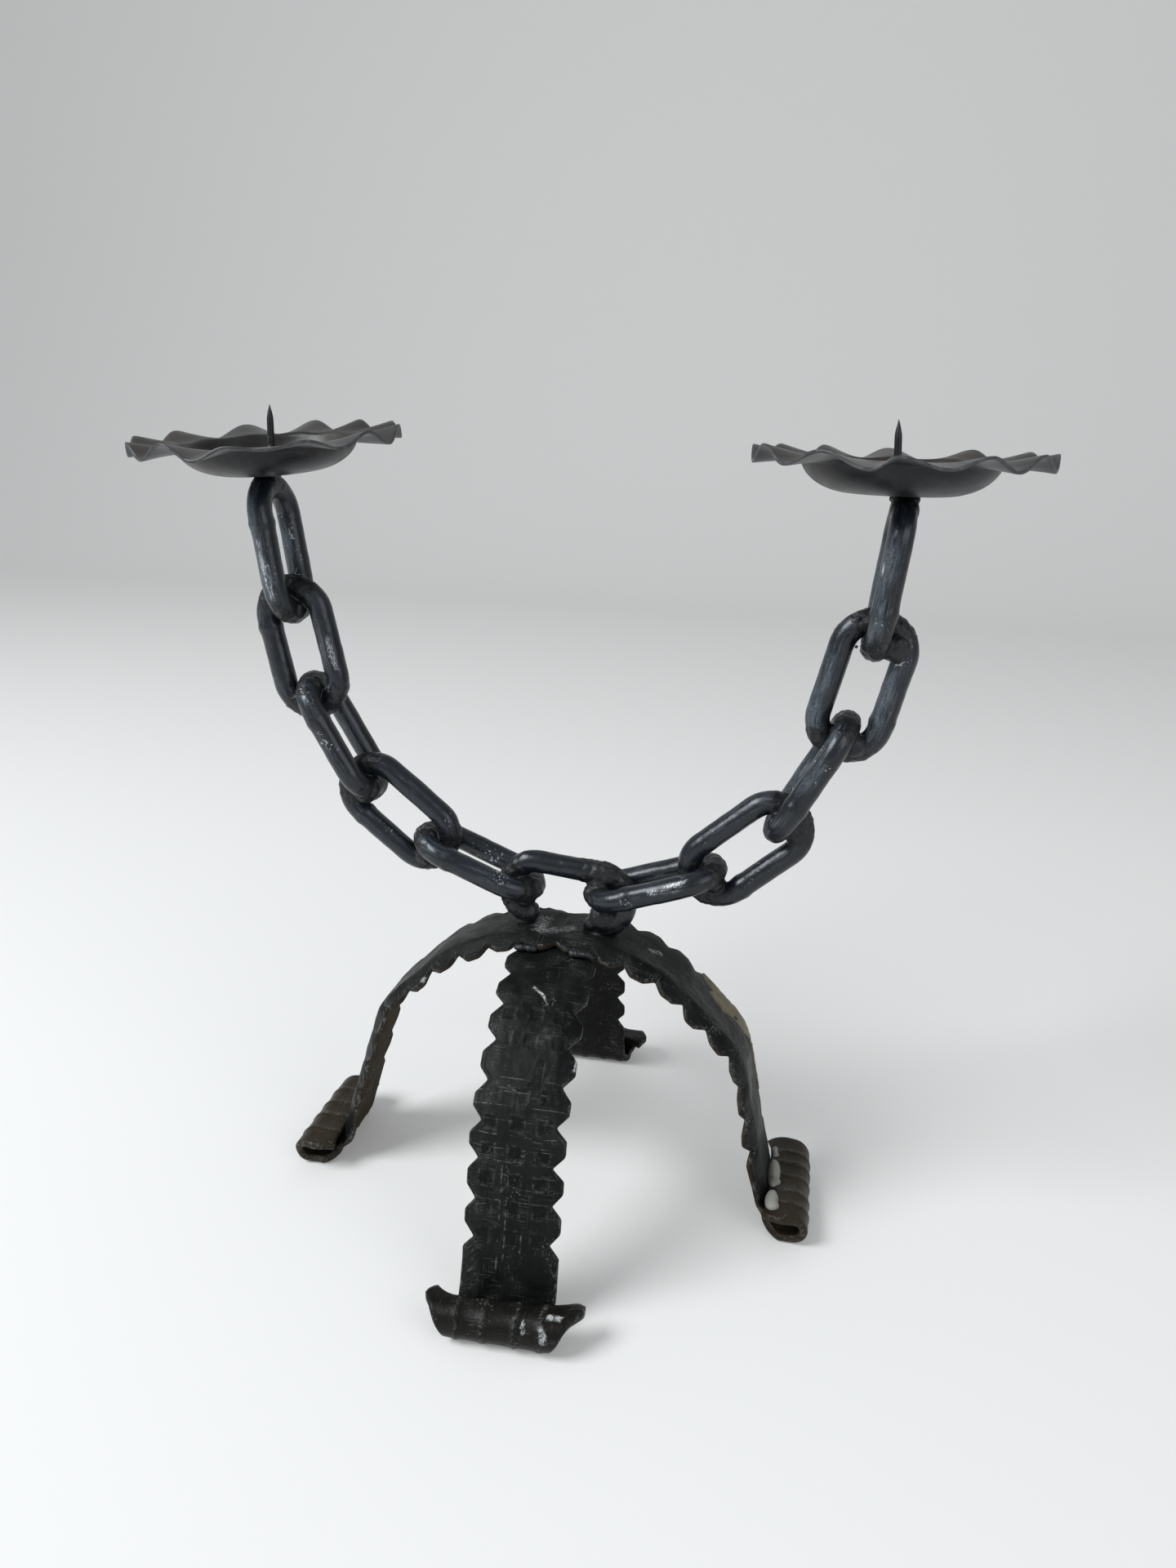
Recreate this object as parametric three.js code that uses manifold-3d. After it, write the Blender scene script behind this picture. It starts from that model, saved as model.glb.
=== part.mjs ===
// Free-standing two-light candle holder: a U of welded chain links that carries two wavy drip
// pans with spikes, on a base of two crossed, hammered and notched flat bars with rolled feet.
// Millimetres. +X runs along the chain to the right, +Y to the back, +Z up. The pieces are made
// about the point on the table under the crossing of the bars, and the whole is then centred.

import * as THREE from "three";
import { mergeVertices } from "three/addons/utils/BufferGeometryUtils.js";
import Module from "manifold-3d";

// Driving dimensions, in millimetres and degrees
const clearance = 0.3; // left between pieces that touch or are welded

// Chain
const wireDiameter = 8.2;
const linkLength = 51.5;
const linkWidth = 28.6;
const armTurns = {
  // each link against the one before it, from the middle link out
  left: [16.4, 17.6, 20.5, 17.5, 4],
  right: [24, 22.4, 20.6, 14.9, 7.2],
};
const armSeatAngles = { left: 5, right: 90 }; // how far up the arms' first links sit in its bends
const middleLinkShift = 1.2; // to the right of the bars' middle
const middleLinkTilt = -4.9; // its right end is the lower one
const middleLinkSink = 2; // of its lower side under the top of the bar
const middleLinkGap = 20; // in its lower side, which is cut away between the two bends

// Drip pans
const panDiameter = 90;
const panThickness = 1;
const panFloorDiameter = 28;
const panBowlDiameter = 60;
const panBowlDepth = 9.4;
const panBowlSteepness = 78; // of the bowl's wall where the flange starts, if it ran on round
const panRimRise = 0.9; // of the flange, from the bowl to the rim
const panWaves = 12;
const panWaveHeight = 4.8; // crest to trough, at the rim
const panWaveGrowth = 1.2; // power by which the waves grow over the flange
const panOutwardTilts = { left: 3.2, right: 0.3 };
const panForwardTilts = { left: 6, right: 0.8 };
const panTurns = { left: 12, right: -4 }; // of the first wave's crest, against +X
const panInsets = { left: 2, right: 2.8 }; // of the pan's middle from the link's, to the inside

// Spikes
const spikeDiameter = 2.4;
const spikeHeight = 22; // above the underside of the pan
const spikePointLength = 5;
const spikeLeans = { left: 0.7, right: -4.4 }; // from upright to the right

// Flat bars of the base
const barWidth = 32;
const barThickness = 3;
const barEdgeThickness = 2.4; // the hammered edges are thinner
const barEdgeDroop = 0.8; // of both edges below the middle
const notchDepth = 3.7;
const notchMouth = 8.4;
const notchPitch = 13;
const notchesPerLeg = 9; // besides the one at the middle of the bar
const baseHeight = 105.5; // top of the upper bar
const shoulderRadius = 63;
const shoulderTurn = 45;
const kneeRadius = 24;
const legs = {
  // flat: length of the flat stretch at the middle of the bar; slope: length of the straight
  // stretch from shoulder to knee; knee: turn into the straight leg; pad: width on the table
  left: { flat: 5.5, slope: 18, knee: 29, pad: 40 },
  right: { flat: 4, slope: 20, knee: 32, pad: 43 },
  front: { flat: 4, slope: 17, knee: 32, pad: 30 },
  back: { flat: 4, slope: 19, knee: 32, pad: 36 },
};
const crossingAngle = 91.8; // of the lower bar against the upper one
const lowerBarShift = -1; // of the lower bar along the chain

// Rolled feet
const rollRadius = 5.2; // at half the thickness
const footPadLength = 4; // flat stretch that stands on the table
const rollLipLength = 1.5;
const rollLipTurn = 25;
const fishtailWidth = 50; // across the horns of a rolled end
const fishtailDepth = 2.5; // how far the middle of the end is cut back

// Weld beads
const beadHeight = 2.1; // of a bead's crown above its joint
const seatWeldLength = 12;
const tackRadius = 3;
const tackSpread = 20; // between the two tacks on one side of the crossing

// Facets
const wireSides = 10;
const linkBendSteps = 7;
const panStepsPerWave = 5;
const bowlSteps = 3;
const flangeSteps = 2;
const rollSteps = 11; // in half a turn
const spikeSides = 10;
const beadFacets = 8; // round a weld bead

const radians = THREE.MathUtils.degToRad;
const wireRadius = wireDiameter / 2;
const wasm = await Module();
wasm.setup();

const blackPaint = { color: 0x20242a, roughness: 0.45, metalness: 0.6 };
const panIron = { color: 0x2b2a29, roughness: 0.6, metalness: 0.5 };
const barIron = { color: 0x242422, roughness: 0.7, metalness: 0.5 };
const weldIron = { color: 0x1b1c1e, roughness: 0.75, metalness: 0.5 };

function namedMesh(name, geometry, finish) {
  geometry.computeVertexNormals();
  const mesh = new THREE.Mesh(geometry, new THREE.MeshStandardMaterial(finish));
  mesh.name = name;
  return mesh;
}

// Closed skin over a row of rings with equal numbers of points. The row ends in caps, or joins
// up with its start when it is a loop.
function skin(rings, loop = false) {
  const sides = rings[0].length;
  const positions = rings.flat().flatMap((point) => point.toArray());
  const faces = [];
  const spans = loop ? rings.length : rings.length - 1;
  for (let i = 0; i < spans; i++) {
    const here = i * sides;
    const next = ((i + 1) % rings.length) * sides;
    for (let j = 0; j < sides; j++) {
      const k = (j + 1) % sides;
      faces.push(here + j, here + k, next + j, here + k, next + k, next + j);
    }
  }
  if (!loop) {
    [rings[0], rings[rings.length - 1]].forEach((ring, end) => {
      const centre = ring.reduce((sum, point) => sum.add(point), new THREE.Vector3());
      const hub = positions.length / 3;
      positions.push(...centre.divideScalar(sides).toArray());
      const start = end ? (rings.length - 1) * sides : 0;
      for (let j = 0; j < sides; j++) {
        const k = (j + 1) % sides;
        faces.push(...(end ? [hub, start + j, start + k] : [hub, start + k, start + j]));
      }
    });
  }
  const geometry = new THREE.BufferGeometry();
  geometry.setAttribute("position", new THREE.Float32BufferAttribute(positions, 3));
  geometry.setIndex(faces);
  return geometry;
}

// A geometry, moved by a matrix, as a solid that can be cut and joined
function solid(geometry, matrix = new THREE.Matrix4()) {
  const bare = geometry.clone().applyMatrix4(matrix);
  bare.deleteAttribute("normal");
  bare.deleteAttribute("uv");
  const merged = mergeVertices(bare, 1e-4);
  return new wasm.Manifold(
    new wasm.Mesh({
      numProp: 3,
      vertProperties: new Float32Array(merged.attributes.position.array),
      triVerts: new Uint32Array(merged.index.array),
    }),
  );
}

function geometryOf(body) {
  const { vertProperties, triVerts } = body.getMesh();
  const geometry = new THREE.BufferGeometry();
  geometry.setAttribute("position", new THREE.Float32BufferAttribute(vertProperties, 3));
  geometry.setIndex(Array.from(triVerts));
  return geometry;
}

// The largest separate body of a solid, where a cut leaves slivers beside it
function largest(body) {
  return body.decompose().reduce((a, b) => (a.volume() >= b.volume() ? a : b));
}

// Chain link: round wire bent to an oval, long along its own X and wide along its own Y
const bendRadius = (linkWidth - wireDiameter) / 2;
const bendCentre = (linkLength - linkWidth) / 2; // from a link's centre to that of its bend
const endWire = bendCentre + bendRadius; // from a link's centre to the wire of its bend

function linkGeometry(radius) {
  const rings = [];
  for (const side of [1, -1]) {
    for (let i = 0; i <= linkBendSteps; i++) {
      const angle = (Math.PI * i) / linkBendSteps - (side * Math.PI) / 2;
      const outward = new THREE.Vector3(Math.cos(angle), Math.sin(angle), 0);
      const centre = outward.clone().multiplyScalar(bendRadius);
      centre.x += side * bendCentre;
      const ring = [];
      for (let j = 0; j < wireSides; j++) {
        const around = (2 * Math.PI * (j + 0.5)) / wireSides;
        const point = centre.clone().addScaledVector(outward, radius * Math.cos(around));
        point.z -= radius * Math.sin(around);
        ring.push(point);
      }
      rings.push(ring);
    }
  }
  return skin(rings, true);
}

// The chain, as each link's centre, its angle to the table and the point where it touches the
// link before it, counted from the middle. Every second link stands across the chain, and the
// links on either side of it turn about the wire of its bend.
const wireSpacing = wireDiameter + clearance;
const along = (angle) => new THREE.Vector3(Math.cos(angle), 0, Math.sin(angle));
const middleLink = {
  centre: new THREE.Vector3(middleLinkShift, 0, baseHeight - middleLinkSink + linkWidth / 2),
  angle: radians(middleLinkTilt),
  across: false,
};

function arm(start, turns, seatAngle) {
  const links = [start];
  turns.forEach((turn, i) => {
    const last = links[i];
    const angle = last.angle + radians(turn);
    const touch = last.centre.clone();
    const centre = new THREE.Vector3();
    if (i === 0) {
      const seat = along(last.angle + radians(seatAngle));
      touch.addScaledVector(along(last.angle), bendCentre);
      touch.addScaledVector(seat, bendRadius - wireSpacing / 2);
      centre.copy(touch).addScaledVector(seat, -wireSpacing / 2).addScaledVector(along(angle), endWire);
    } else if (last.across) {
      touch.addScaledVector(along(last.angle), endWire).addScaledVector(along(angle), -wireSpacing / 2);
      centre.copy(touch).addScaledVector(along(angle), endWire - wireSpacing / 2);
    } else {
      touch.addScaledVector(along(last.angle), endWire - wireSpacing / 2);
      centre.copy(touch).addScaledVector(along(last.angle), -wireSpacing / 2);
      centre.addScaledVector(along(angle), endWire);
    }
    links.push({ centre, angle, across: !last.across, touch });
  });
  return links.slice(1);
}

// The left arm is worked out as a right one, and mirrored about the middle link
function mirrorLink({ centre, angle, across, touch = centre }) {
  const mirror = (point) => new THREE.Vector3(2 * middleLinkShift - point.x, 0, point.z);
  return { centre: mirror(centre), angle: -angle, across, touch: mirror(touch) };
}

const rightArm = arm(middleLink, armTurns.right, armSeatAngles.right);
const leftArm = arm(mirrorLink(middleLink), armTurns.left, armSeatAngles.left).map(mirrorLink);
const chain = [...[...leftArm].reverse(), middleLink, ...rightArm];

function linkPlace(link) {
  const object = new THREE.Object3D();
  object.position.copy(link.centre);
  object.rotation.set(link.across ? 0 : Math.PI / 2, -link.angle, 0, "YXZ");
  object.updateMatrix();
  return object;
}

// A link with room all round it, to cut its neighbours
const linkRoom = linkGeometry(wireRadius + clearance);
const roomAround = (link) => solid(linkRoom, linkPlace(link).matrix);

// The middle link stands on the upper bar with its lower side cut away. Its solid is cut in the
// part's own frame.
function middleLinkGeometry() {
  const whole = solid(linkGeometry(wireRadius), linkPlace(middleLink).matrix);
  const gap = new THREE.BoxGeometry(middleLinkGap, 2 * wireDiameter, linkWidth);
  gap.translate(middleLinkShift, 0, middleLink.centre.z - linkWidth / 2);
  return geometryOf(largest(whole.subtract(solid(gap)).subtract(upperBarRoom())));
}

function chainGroup() {
  const group = new THREE.Group();
  chain.forEach((link, i) => {
    const name = "chain_link_" + String(i + 1).padStart(2, "0");
    if (link === middleLink) {
      group.add(namedMesh(name, middleLinkGeometry(), blackPaint));
      return;
    }
    const mesh = namedMesh(name, linkGeometry(wireRadius), blackPaint);
    const place = linkPlace(link);
    mesh.position.copy(place.position);
    mesh.rotation.copy(place.rotation);
    group.add(mesh);
  });
  return group;
}

// Rounded bead, later cut to the pieces that it joins
function bead(width, depth, height, centre) {
  const ball = new THREE.SphereGeometry(1, beadFacets, beadFacets / 2 + 1);
  const place = new THREE.Matrix4().makeTranslation(centre.x, centre.y, centre.z);
  return solid(ball, place.scale(new THREE.Vector3(width / 2, depth / 2, height / 2)));
}

// Weld between two neighbouring links: a bead round the point where their wires touch
function linkWeld(i) {
  const size = wireDiameter + 2 * beadHeight;
  const { touch } = i < leftArm.length ? chain[i] : chain[i + 1];
  const lump = bead(size, size, size, touch);
  return lump.subtract(roomAround(chain[i])).subtract(roomAround(chain[i + 1]));
}

// Place of a pan on the last link of an arm: its floor rests on the bend's wire
function panSeat(link, side, sign) {
  const lean = new THREE.Euler(radians(panForwardTilts[side]), sign * radians(panOutwardTilts[side]), 0);
  const bend = along(link.angle).multiplyScalar(sign * endWire);
  const lift = new THREE.Vector3(-sign * panInsets[side], 0, wireRadius + clearance);
  const seat = new THREE.Object3D();
  seat.position.copy(link.centre).add(bend).add(lift.applyEuler(lean));
  seat.rotation.copy(lean);
  seat.updateMatrix();
  return seat;
}

// Drip pan: thin sheet with a flat floor, a round bowl and a flared flange in waves. The
// profile is the underside, as radius and height above the floor's underside.
const spikeHole = spikeDiameter / 2 + clearance;

function panUnderside() {
  const floor = panFloorDiameter / 2;
  const bowl = panBowlDiameter / 2;
  const rim = panDiameter / 2;
  const steepest = radians(panBowlSteepness);
  const profile = [new THREE.Vector2(spikeHole, 0), new THREE.Vector2(floor, 0)];
  for (let i = 1; i <= bowlSteps; i++) {
    const t = (steepest * i) / bowlSteps;
    const reach = Math.sin(t) / Math.sin(steepest);
    const climb = (1 - Math.cos(t)) / (1 - Math.cos(steepest));
    profile.push(new THREE.Vector2(floor + (bowl - floor) * reach, panBowlDepth * climb));
  }
  for (let i = 1; i <= flangeSteps; i++) {
    const t = i / flangeSteps;
    profile.push(new THREE.Vector2(bowl + (rim - bowl) * t, panBowlDepth + panRimRise * t));
  }
  return profile;
}

function panGeometry() {
  const under = panUnderside();
  const upper = under.map((point, i) => {
    const before = under[Math.max(i - 1, 0)];
    const after = under[Math.min(i + 1, under.length - 1)];
    const course = after.clone().sub(before).normalize();
    const onFloor = point.y === 0;
    const normal = onFloor ? new THREE.Vector2(0, 1) : new THREE.Vector2(-course.y, course.x);
    const lifted = point.clone().addScaledVector(normal, panThickness);
    return i === under.length - 1 ? new THREE.Vector2(point.x, lifted.y) : lifted;
  });
  const bowl = panBowlDiameter / 2;
  const rim = panDiameter / 2;
  const waveAt = (radius) => Math.max(0, (radius - bowl) / (rim - bowl)) ** panWaveGrowth;
  const steps = panWaves * panStepsPerWave;
  const rings = [...under, ...upper.reverse()].map((point) => {
    const ring = [];
    for (let i = 0; i < steps; i++) {
      const angle = (2 * Math.PI * i) / steps;
      const wave = (panWaveHeight / 2) * waveAt(point.x) * Math.cos(panWaves * angle);
      const spot = new THREE.Vector3(Math.cos(angle) * point.x, Math.sin(angle) * point.x, 0);
      ring.push(spot.setZ(point.y + wave));
    }
    return ring;
  });
  return skin(rings, true);
}

// Spike: a pointed pin through the pan's hole, standing on the link below. It doesn't lean as
// its pan does.
function spikeGeometry() {
  const radius = spikeDiameter / 2;
  const profile = [
    new THREE.Vector2(0, 0),
    new THREE.Vector2(radius, 0),
    new THREE.Vector2(radius, spikeHeight - spikePointLength),
    new THREE.Vector2(radius / 2, spikeHeight - spikePointLength / 4),
    new THREE.Vector2(0, spikeHeight),
  ];
  return new THREE.LatheGeometry(profile, spikeSides).rotateX(Math.PI / 2);
}

// Collar of weld between an arm's last link, its pan and the foot of the spike
function panWeld(link, seat, wirePlace) {
  const width = wireDiameter + 3 * beadHeight;
  const collar = bead(width, width, wireDiameter, new THREE.Vector3(wirePlace, 0, 0));
  const pan = new THREE.BoxGeometry(4 * width, 4 * width, 2 * width).translate(0, 0, width - clearance);
  return collar.subtract(solid(pan)).transform(seat.matrix.elements).subtract(roomAround(link));
}

// Top of an arm: its pan and spike, with the weld that holds both
function lightGroup(side, links, sign) {
  const link = links[links.length - 1];
  const seat = panSeat(link, side, sign);
  const top = new THREE.Group();
  top.position.copy(seat.position);
  top.rotation.copy(seat.rotation);
  const pan = namedMesh("drip_pan_" + side, panGeometry(), panIron);
  pan.rotation.z = radians(panTurns[side]);
  top.add(pan);
  const spike = namedMesh("spike_" + side, spikeGeometry(), panIron);
  spike.position.copy(seat.position);
  spike.rotation.y = radians(spikeLeans[side]);
  const weld = geometryOf(largest(panWeld(link, seat, sign * panInsets[side])));
  return new THREE.Group().add(top, spike, namedMesh("weld_pan_" + side, weld, weldIron));
}

// Course of one half of a bar at half its thickness: straight and bent stretches, each with its
// length and its turn, upwards positive, from the middle of the crown to the roll's lip
function barCourse(topHeight, { flat, slope, knee }) {
  const arc = (radius, degrees) => ({ length: radius * Math.abs(radians(degrees)), turn: radians(degrees) });
  const straight = (length) => ({ length, turn: 0 });
  const lean = shoulderTurn + knee;
  const start = { x: 0, z: topHeight - barThickness / 2 };
  const bends = [
    straight(flat),
    arc(shoulderRadius, -shoulderTurn),
    straight(slope),
    arc(kneeRadius, -knee),
  ];
  const kneeEnd = walk(bends, start, totalLength(bends));
  const rollStart = barThickness / 2 + rollRadius * (1 - Math.cos(radians(lean)));
  const legLength = (kneeEnd.z - rollStart) / Math.sin(radians(lean));
  const roll = [
    arc(rollRadius, lean),
    straight(footPadLength),
    arc(rollRadius, 180),
    straight(rollLipLength),
    arc(rollRadius, rollLipTurn),
  ];
  const down = [...bends, straight(legLength)];
  const legEnd = totalLength(down);
  const padStart = legEnd + roll[0].length;
  return { start, legEnd, padStart, stretches: [...down, ...roll] };
}

function totalLength(stretches) {
  return stretches.reduce((sum, stretch) => sum + stretch.length, 0);
}

// Place and heading at a distance along a course
function walk(stretches, start, distance) {
  let { x, z } = start;
  let heading = 0;
  let left = distance;
  for (const { length, turn } of stretches) {
    const step = Math.min(left, length);
    if (turn === 0) {
      x += step * Math.cos(heading);
      z += step * Math.sin(heading);
    } else {
      const radius = length / turn;
      const next = heading + (turn * step) / length;
      x += radius * (Math.sin(next) - Math.sin(heading));
      z -= radius * (Math.cos(next) - Math.cos(heading));
      heading = next;
    }
    left -= step;
    if (left <= 0) break;
  }
  return { x, z, heading };
}

// Half of a bar's width at a distance from its middle
function halfWidthAt(distance, course, pad) {
  const toothed = notchPitch * notchesPerLeg + notchMouth / 2;
  if (distance <= toothed) {
    const toNotch = Math.abs(distance - notchPitch * Math.round(distance / notchPitch));
    const cut = Math.max(0, 1 - toNotch / (notchMouth / 2));
    return barWidth / 2 - notchDepth * cut;
  }
  const { lerp, inverseLerp, clamp } = THREE.MathUtils;
  const padEnd = course.padStart + footPadLength;
  const toPad = clamp(inverseLerp(course.legEnd, course.padStart, distance), 0, 1);
  const toEnd = clamp(inverseLerp(padEnd, totalLength(course.stretches), distance), 0, 1);
  return lerp(lerp(barWidth, pad, toPad), fishtailWidth, toEnd) / 2;
}

// Distances along half a bar at which its outline or its course bends
function barStations(course) {
  const stations = [0, notchMouth / 2];
  for (let i = 1; i <= notchesPerLeg; i++) {
    stations.push(notchPitch * i - notchMouth / 2, notchPitch * i, notchPitch * i + notchMouth / 2);
  }
  let distance = 0;
  for (const { length, turn } of course.stretches) {
    const inRoll = distance >= course.legEnd - 1e-6;
    const steps = inRoll ? Math.max(1, Math.round((rollSteps * Math.abs(turn)) / Math.PI)) : 1;
    for (let i = 1; i <= steps; i++) stations.push(distance + (length * i) / steps);
    distance += length;
  }
  const sorted = stations.sort((a, b) => a - b);
  return sorted.filter((value, i) => i === 0 || value - sorted[i - 1] > 0.4);
}

// One half of a bar as rings of its section, from the crown to the roll's lip. Its edges are
// hammered down to the end of the leg. Growth thickens it all round, for its welds' room.
function halfBarRings(topHeight, leg, side, growth) {
  const course = barCourse(topHeight, leg);
  const stations = barStations(course);
  const end = stations[stations.length - 1];
  return stations.map((distance) => {
    const half = halfWidthAt(distance, course, leg.pad) + growth;
    const spot = (u, level) => {
      const back = distance === end && u === 0 ? fishtailDepth : 0;
      const { x, z, heading } = walk(course.stretches, course.start, distance - back);
      const offX = x - Math.sin(heading) * level;
      const offZ = z + Math.cos(heading) * level;
      return new THREE.Vector3(side * offX, u * half, offZ);
    };
    const hammered = distance < course.legEnd - 1e-6;
    const middle = barThickness / 2 + growth;
    const edge = hammered ? barEdgeThickness / 2 + growth : middle;
    const droop = hammered ? barEdgeDroop : 0;
    return [
      spot(-1, -edge - droop),
      spot(0, -middle),
      spot(1, -edge - droop),
      spot(1, edge - droop),
      spot(0, middle),
      spot(-1, edge - droop),
    ];
  });
}

// Notched flat bar, arched over the table and rolled up at both ends
function barGeometry({ top, minus, plus }, growth = 0) {
  const minusRings = halfBarRings(top, minus, -1, growth).slice(1).reverse();
  return skin([...minusRings, ...halfBarRings(top, plus, 1, growth)]);
}

// The upper bar already bends down where it crosses the edges of the lower one, and the lower
// one's edges droop away from it
const upperCourse = barCourse(baseHeight, legs.right);
const edgePlace = barWidth / 2 + Math.abs(lowerBarShift);
const crownSag = upperCourse.start.z - walk(upperCourse.stretches, upperCourse.start, edgePlace).z;
const edgeSpacing = crownSag - barEdgeDroop + (barThickness + barEdgeThickness) / 2;
const lowerBarHeight = baseHeight - Math.max(barThickness, edgeSpacing) - clearance;
const upperBar = { top: baseHeight, minus: legs.left, plus: legs.right };
const lowerBar = { top: lowerBarHeight, minus: legs.front, plus: legs.back };

function lowerBarPlace() {
  const place = new THREE.Object3D();
  place.position.x = lowerBarShift;
  place.rotation.z = radians(crossingAngle);
  place.updateMatrix();
  return place;
}

const upperBarRoom = () => solid(barGeometry(upperBar, clearance));
const lowerBarRoom = () => solid(barGeometry(lowerBar, clearance), lowerBarPlace().matrix);

function baseGroup() {
  const group = new THREE.Group();
  const lower = namedMesh("base_bar_lower", barGeometry(lowerBar), barIron);
  lower.position.copy(lowerBarPlace().position);
  lower.rotation.copy(lowerBarPlace().rotation);
  group.add(namedMesh("base_bar_upper", barGeometry(upperBar), barIron), lower);
  return group;
}

// Weld round one cut end of the middle link, where it stands on the upper bar
function seatWeld(side) {
  const centre = new THREE.Vector3(middleLinkShift + side * (bendCentre + wireRadius), 0, baseHeight);
  const lump = bead(seatWeldLength, wireDiameter + 3 * beadHeight, 4 * beadHeight, centre);
  return lump.subtract(upperBarRoom()).subtract(roomAround(middleLink));
}

// Tack between the edge of the upper bar and the face of the lower one
function crossingTack(sideX, sideY) {
  const centre = new THREE.Vector3(
    (sideX * tackSpread) / 2,
    sideY * (barWidth / 2 + clearance),
    lowerBarHeight,
  );
  const lump = bead(2 * tackRadius, 2 * tackRadius, 2 * tackRadius, centre);
  return lump.subtract(upperBarRoom()).subtract(lowerBarRoom());
}

function weldGroup() {
  const group = new THREE.Group();
  const addWeld = (name, body) => group.add(namedMesh(name, geometryOf(largest(body)), weldIron));
  for (let i = 0; i < chain.length - 1; i++) {
    addWeld("weld_links_" + String(i + 1).padStart(2, "0"), linkWeld(i));
  }
  for (const [side, sign] of [["left", -1], ["right", 1]]) {
    addWeld("weld_seat_" + side, seatWeld(sign));
    addWeld("weld_crossing_front_" + side, crossingTack(sign, -1));
    addWeld("weld_crossing_back_" + side, crossingTack(sign, 1));
  }
  return group;
}

const candleHolder = new THREE.Group();
candleHolder.add(baseGroup(), chainGroup(), weldGroup());
candleHolder.add(lightGroup("left", leftArm, -1), lightGroup("right", rightArm, 1));

// The origin lies on the table under the middle of the whole
const middle = new THREE.Box3().setFromObject(candleHolder, true).getCenter(new THREE.Vector3());
candleHolder.position.set(-middle.x, -middle.y, 0);

export default candleHolder;
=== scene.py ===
import math

import bmesh
import bpy
from mathutils import Matrix, Vector, noise


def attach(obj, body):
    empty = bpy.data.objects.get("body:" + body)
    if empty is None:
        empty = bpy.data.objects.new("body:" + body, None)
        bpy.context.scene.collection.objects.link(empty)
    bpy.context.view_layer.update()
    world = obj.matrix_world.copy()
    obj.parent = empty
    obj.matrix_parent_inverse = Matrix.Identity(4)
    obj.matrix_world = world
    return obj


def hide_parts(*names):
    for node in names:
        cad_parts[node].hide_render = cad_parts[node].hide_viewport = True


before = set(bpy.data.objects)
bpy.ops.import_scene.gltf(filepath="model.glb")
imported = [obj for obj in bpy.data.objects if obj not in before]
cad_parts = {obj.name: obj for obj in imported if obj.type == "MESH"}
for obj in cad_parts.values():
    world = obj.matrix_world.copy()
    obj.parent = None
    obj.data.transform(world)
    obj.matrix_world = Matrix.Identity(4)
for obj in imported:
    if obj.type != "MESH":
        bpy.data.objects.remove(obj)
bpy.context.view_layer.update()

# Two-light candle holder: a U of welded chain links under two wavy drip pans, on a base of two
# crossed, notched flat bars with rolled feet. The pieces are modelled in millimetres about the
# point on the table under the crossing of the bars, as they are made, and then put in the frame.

crossing = Vector((2.533, -0.570, 0.0))  # from the middle of the whole
to_frame = Matrix.Scale(0.001, 4) @ Matrix.Translation(crossing)


# Camera, paper and lamps. The camera stands where the photograph was taken. The holder stands on
# a pale sweep of paper, under an overcast sky, with a broad window light on its left and a weak
# one on its right.

camera_place = Vector((78.54, -356.66, 272.20))
camera_turn = math.radians(-11.27)  # from straight ahead, so to the left
camera_dip = math.radians(17.16)
camera_roll = math.radians(1.76)
camera_lens = 24.93
camera_film_height = 36

ahead = Vector((math.sin(camera_turn), math.cos(camera_turn), -math.tan(camera_dip))).normalized()
level_right = Vector((math.cos(camera_turn), -math.sin(camera_turn), 0))
level_up = level_right.cross(ahead)
right = level_right * math.cos(camera_roll) + level_up * math.sin(camera_roll)
up = level_up * math.cos(camera_roll) - level_right * math.sin(camera_roll)

camera_data = bpy.data.cameras.new("camera")
camera_data.sensor_fit = "VERTICAL"
camera_data.sensor_height = camera_film_height
camera_data.lens = camera_lens
camera_data.clip_start = 0.01
camera = bpy.data.objects.new("camera", camera_data)
bpy.context.scene.collection.objects.link(camera)
turned = Matrix((right, up, -ahead)).transposed().to_4x4()
camera.matrix_world = Matrix.Translation(to_frame @ camera_place) @ turned
bpy.context.scene.camera = camera


def add_node(tree, kind, inputs=None, **settings):
    """A shader node with its settings, and with its inputs set or linked by name or number."""
    made = tree.nodes.new("ShaderNode" + kind)
    for key, value in settings.items():
        setattr(made, key, value)
    for key, value in (inputs or {}).items():
        if isinstance(value, bpy.types.NodeSocket):
            tree.links.new(value, made.inputs[key])
        else:
            made.inputs[key].default_value = value
    return made


def math_node(tree, operation, a, b=0.0):
    return add_node(tree, "Math", {0: a, 1: b}, operation=operation).outputs[0]


def times(tree, a, b):
    return math_node(tree, "MULTIPLY", a, b)


def larger(tree, a, b):
    return math_node(tree, "MAXIMUM", a, b)


def new_material(name):
    """An empty material, its tree and its shader."""
    material = bpy.data.materials.new(name)
    material.use_nodes = True
    tree = material.node_tree
    return material, tree, tree.nodes["Principled BSDF"]


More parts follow.
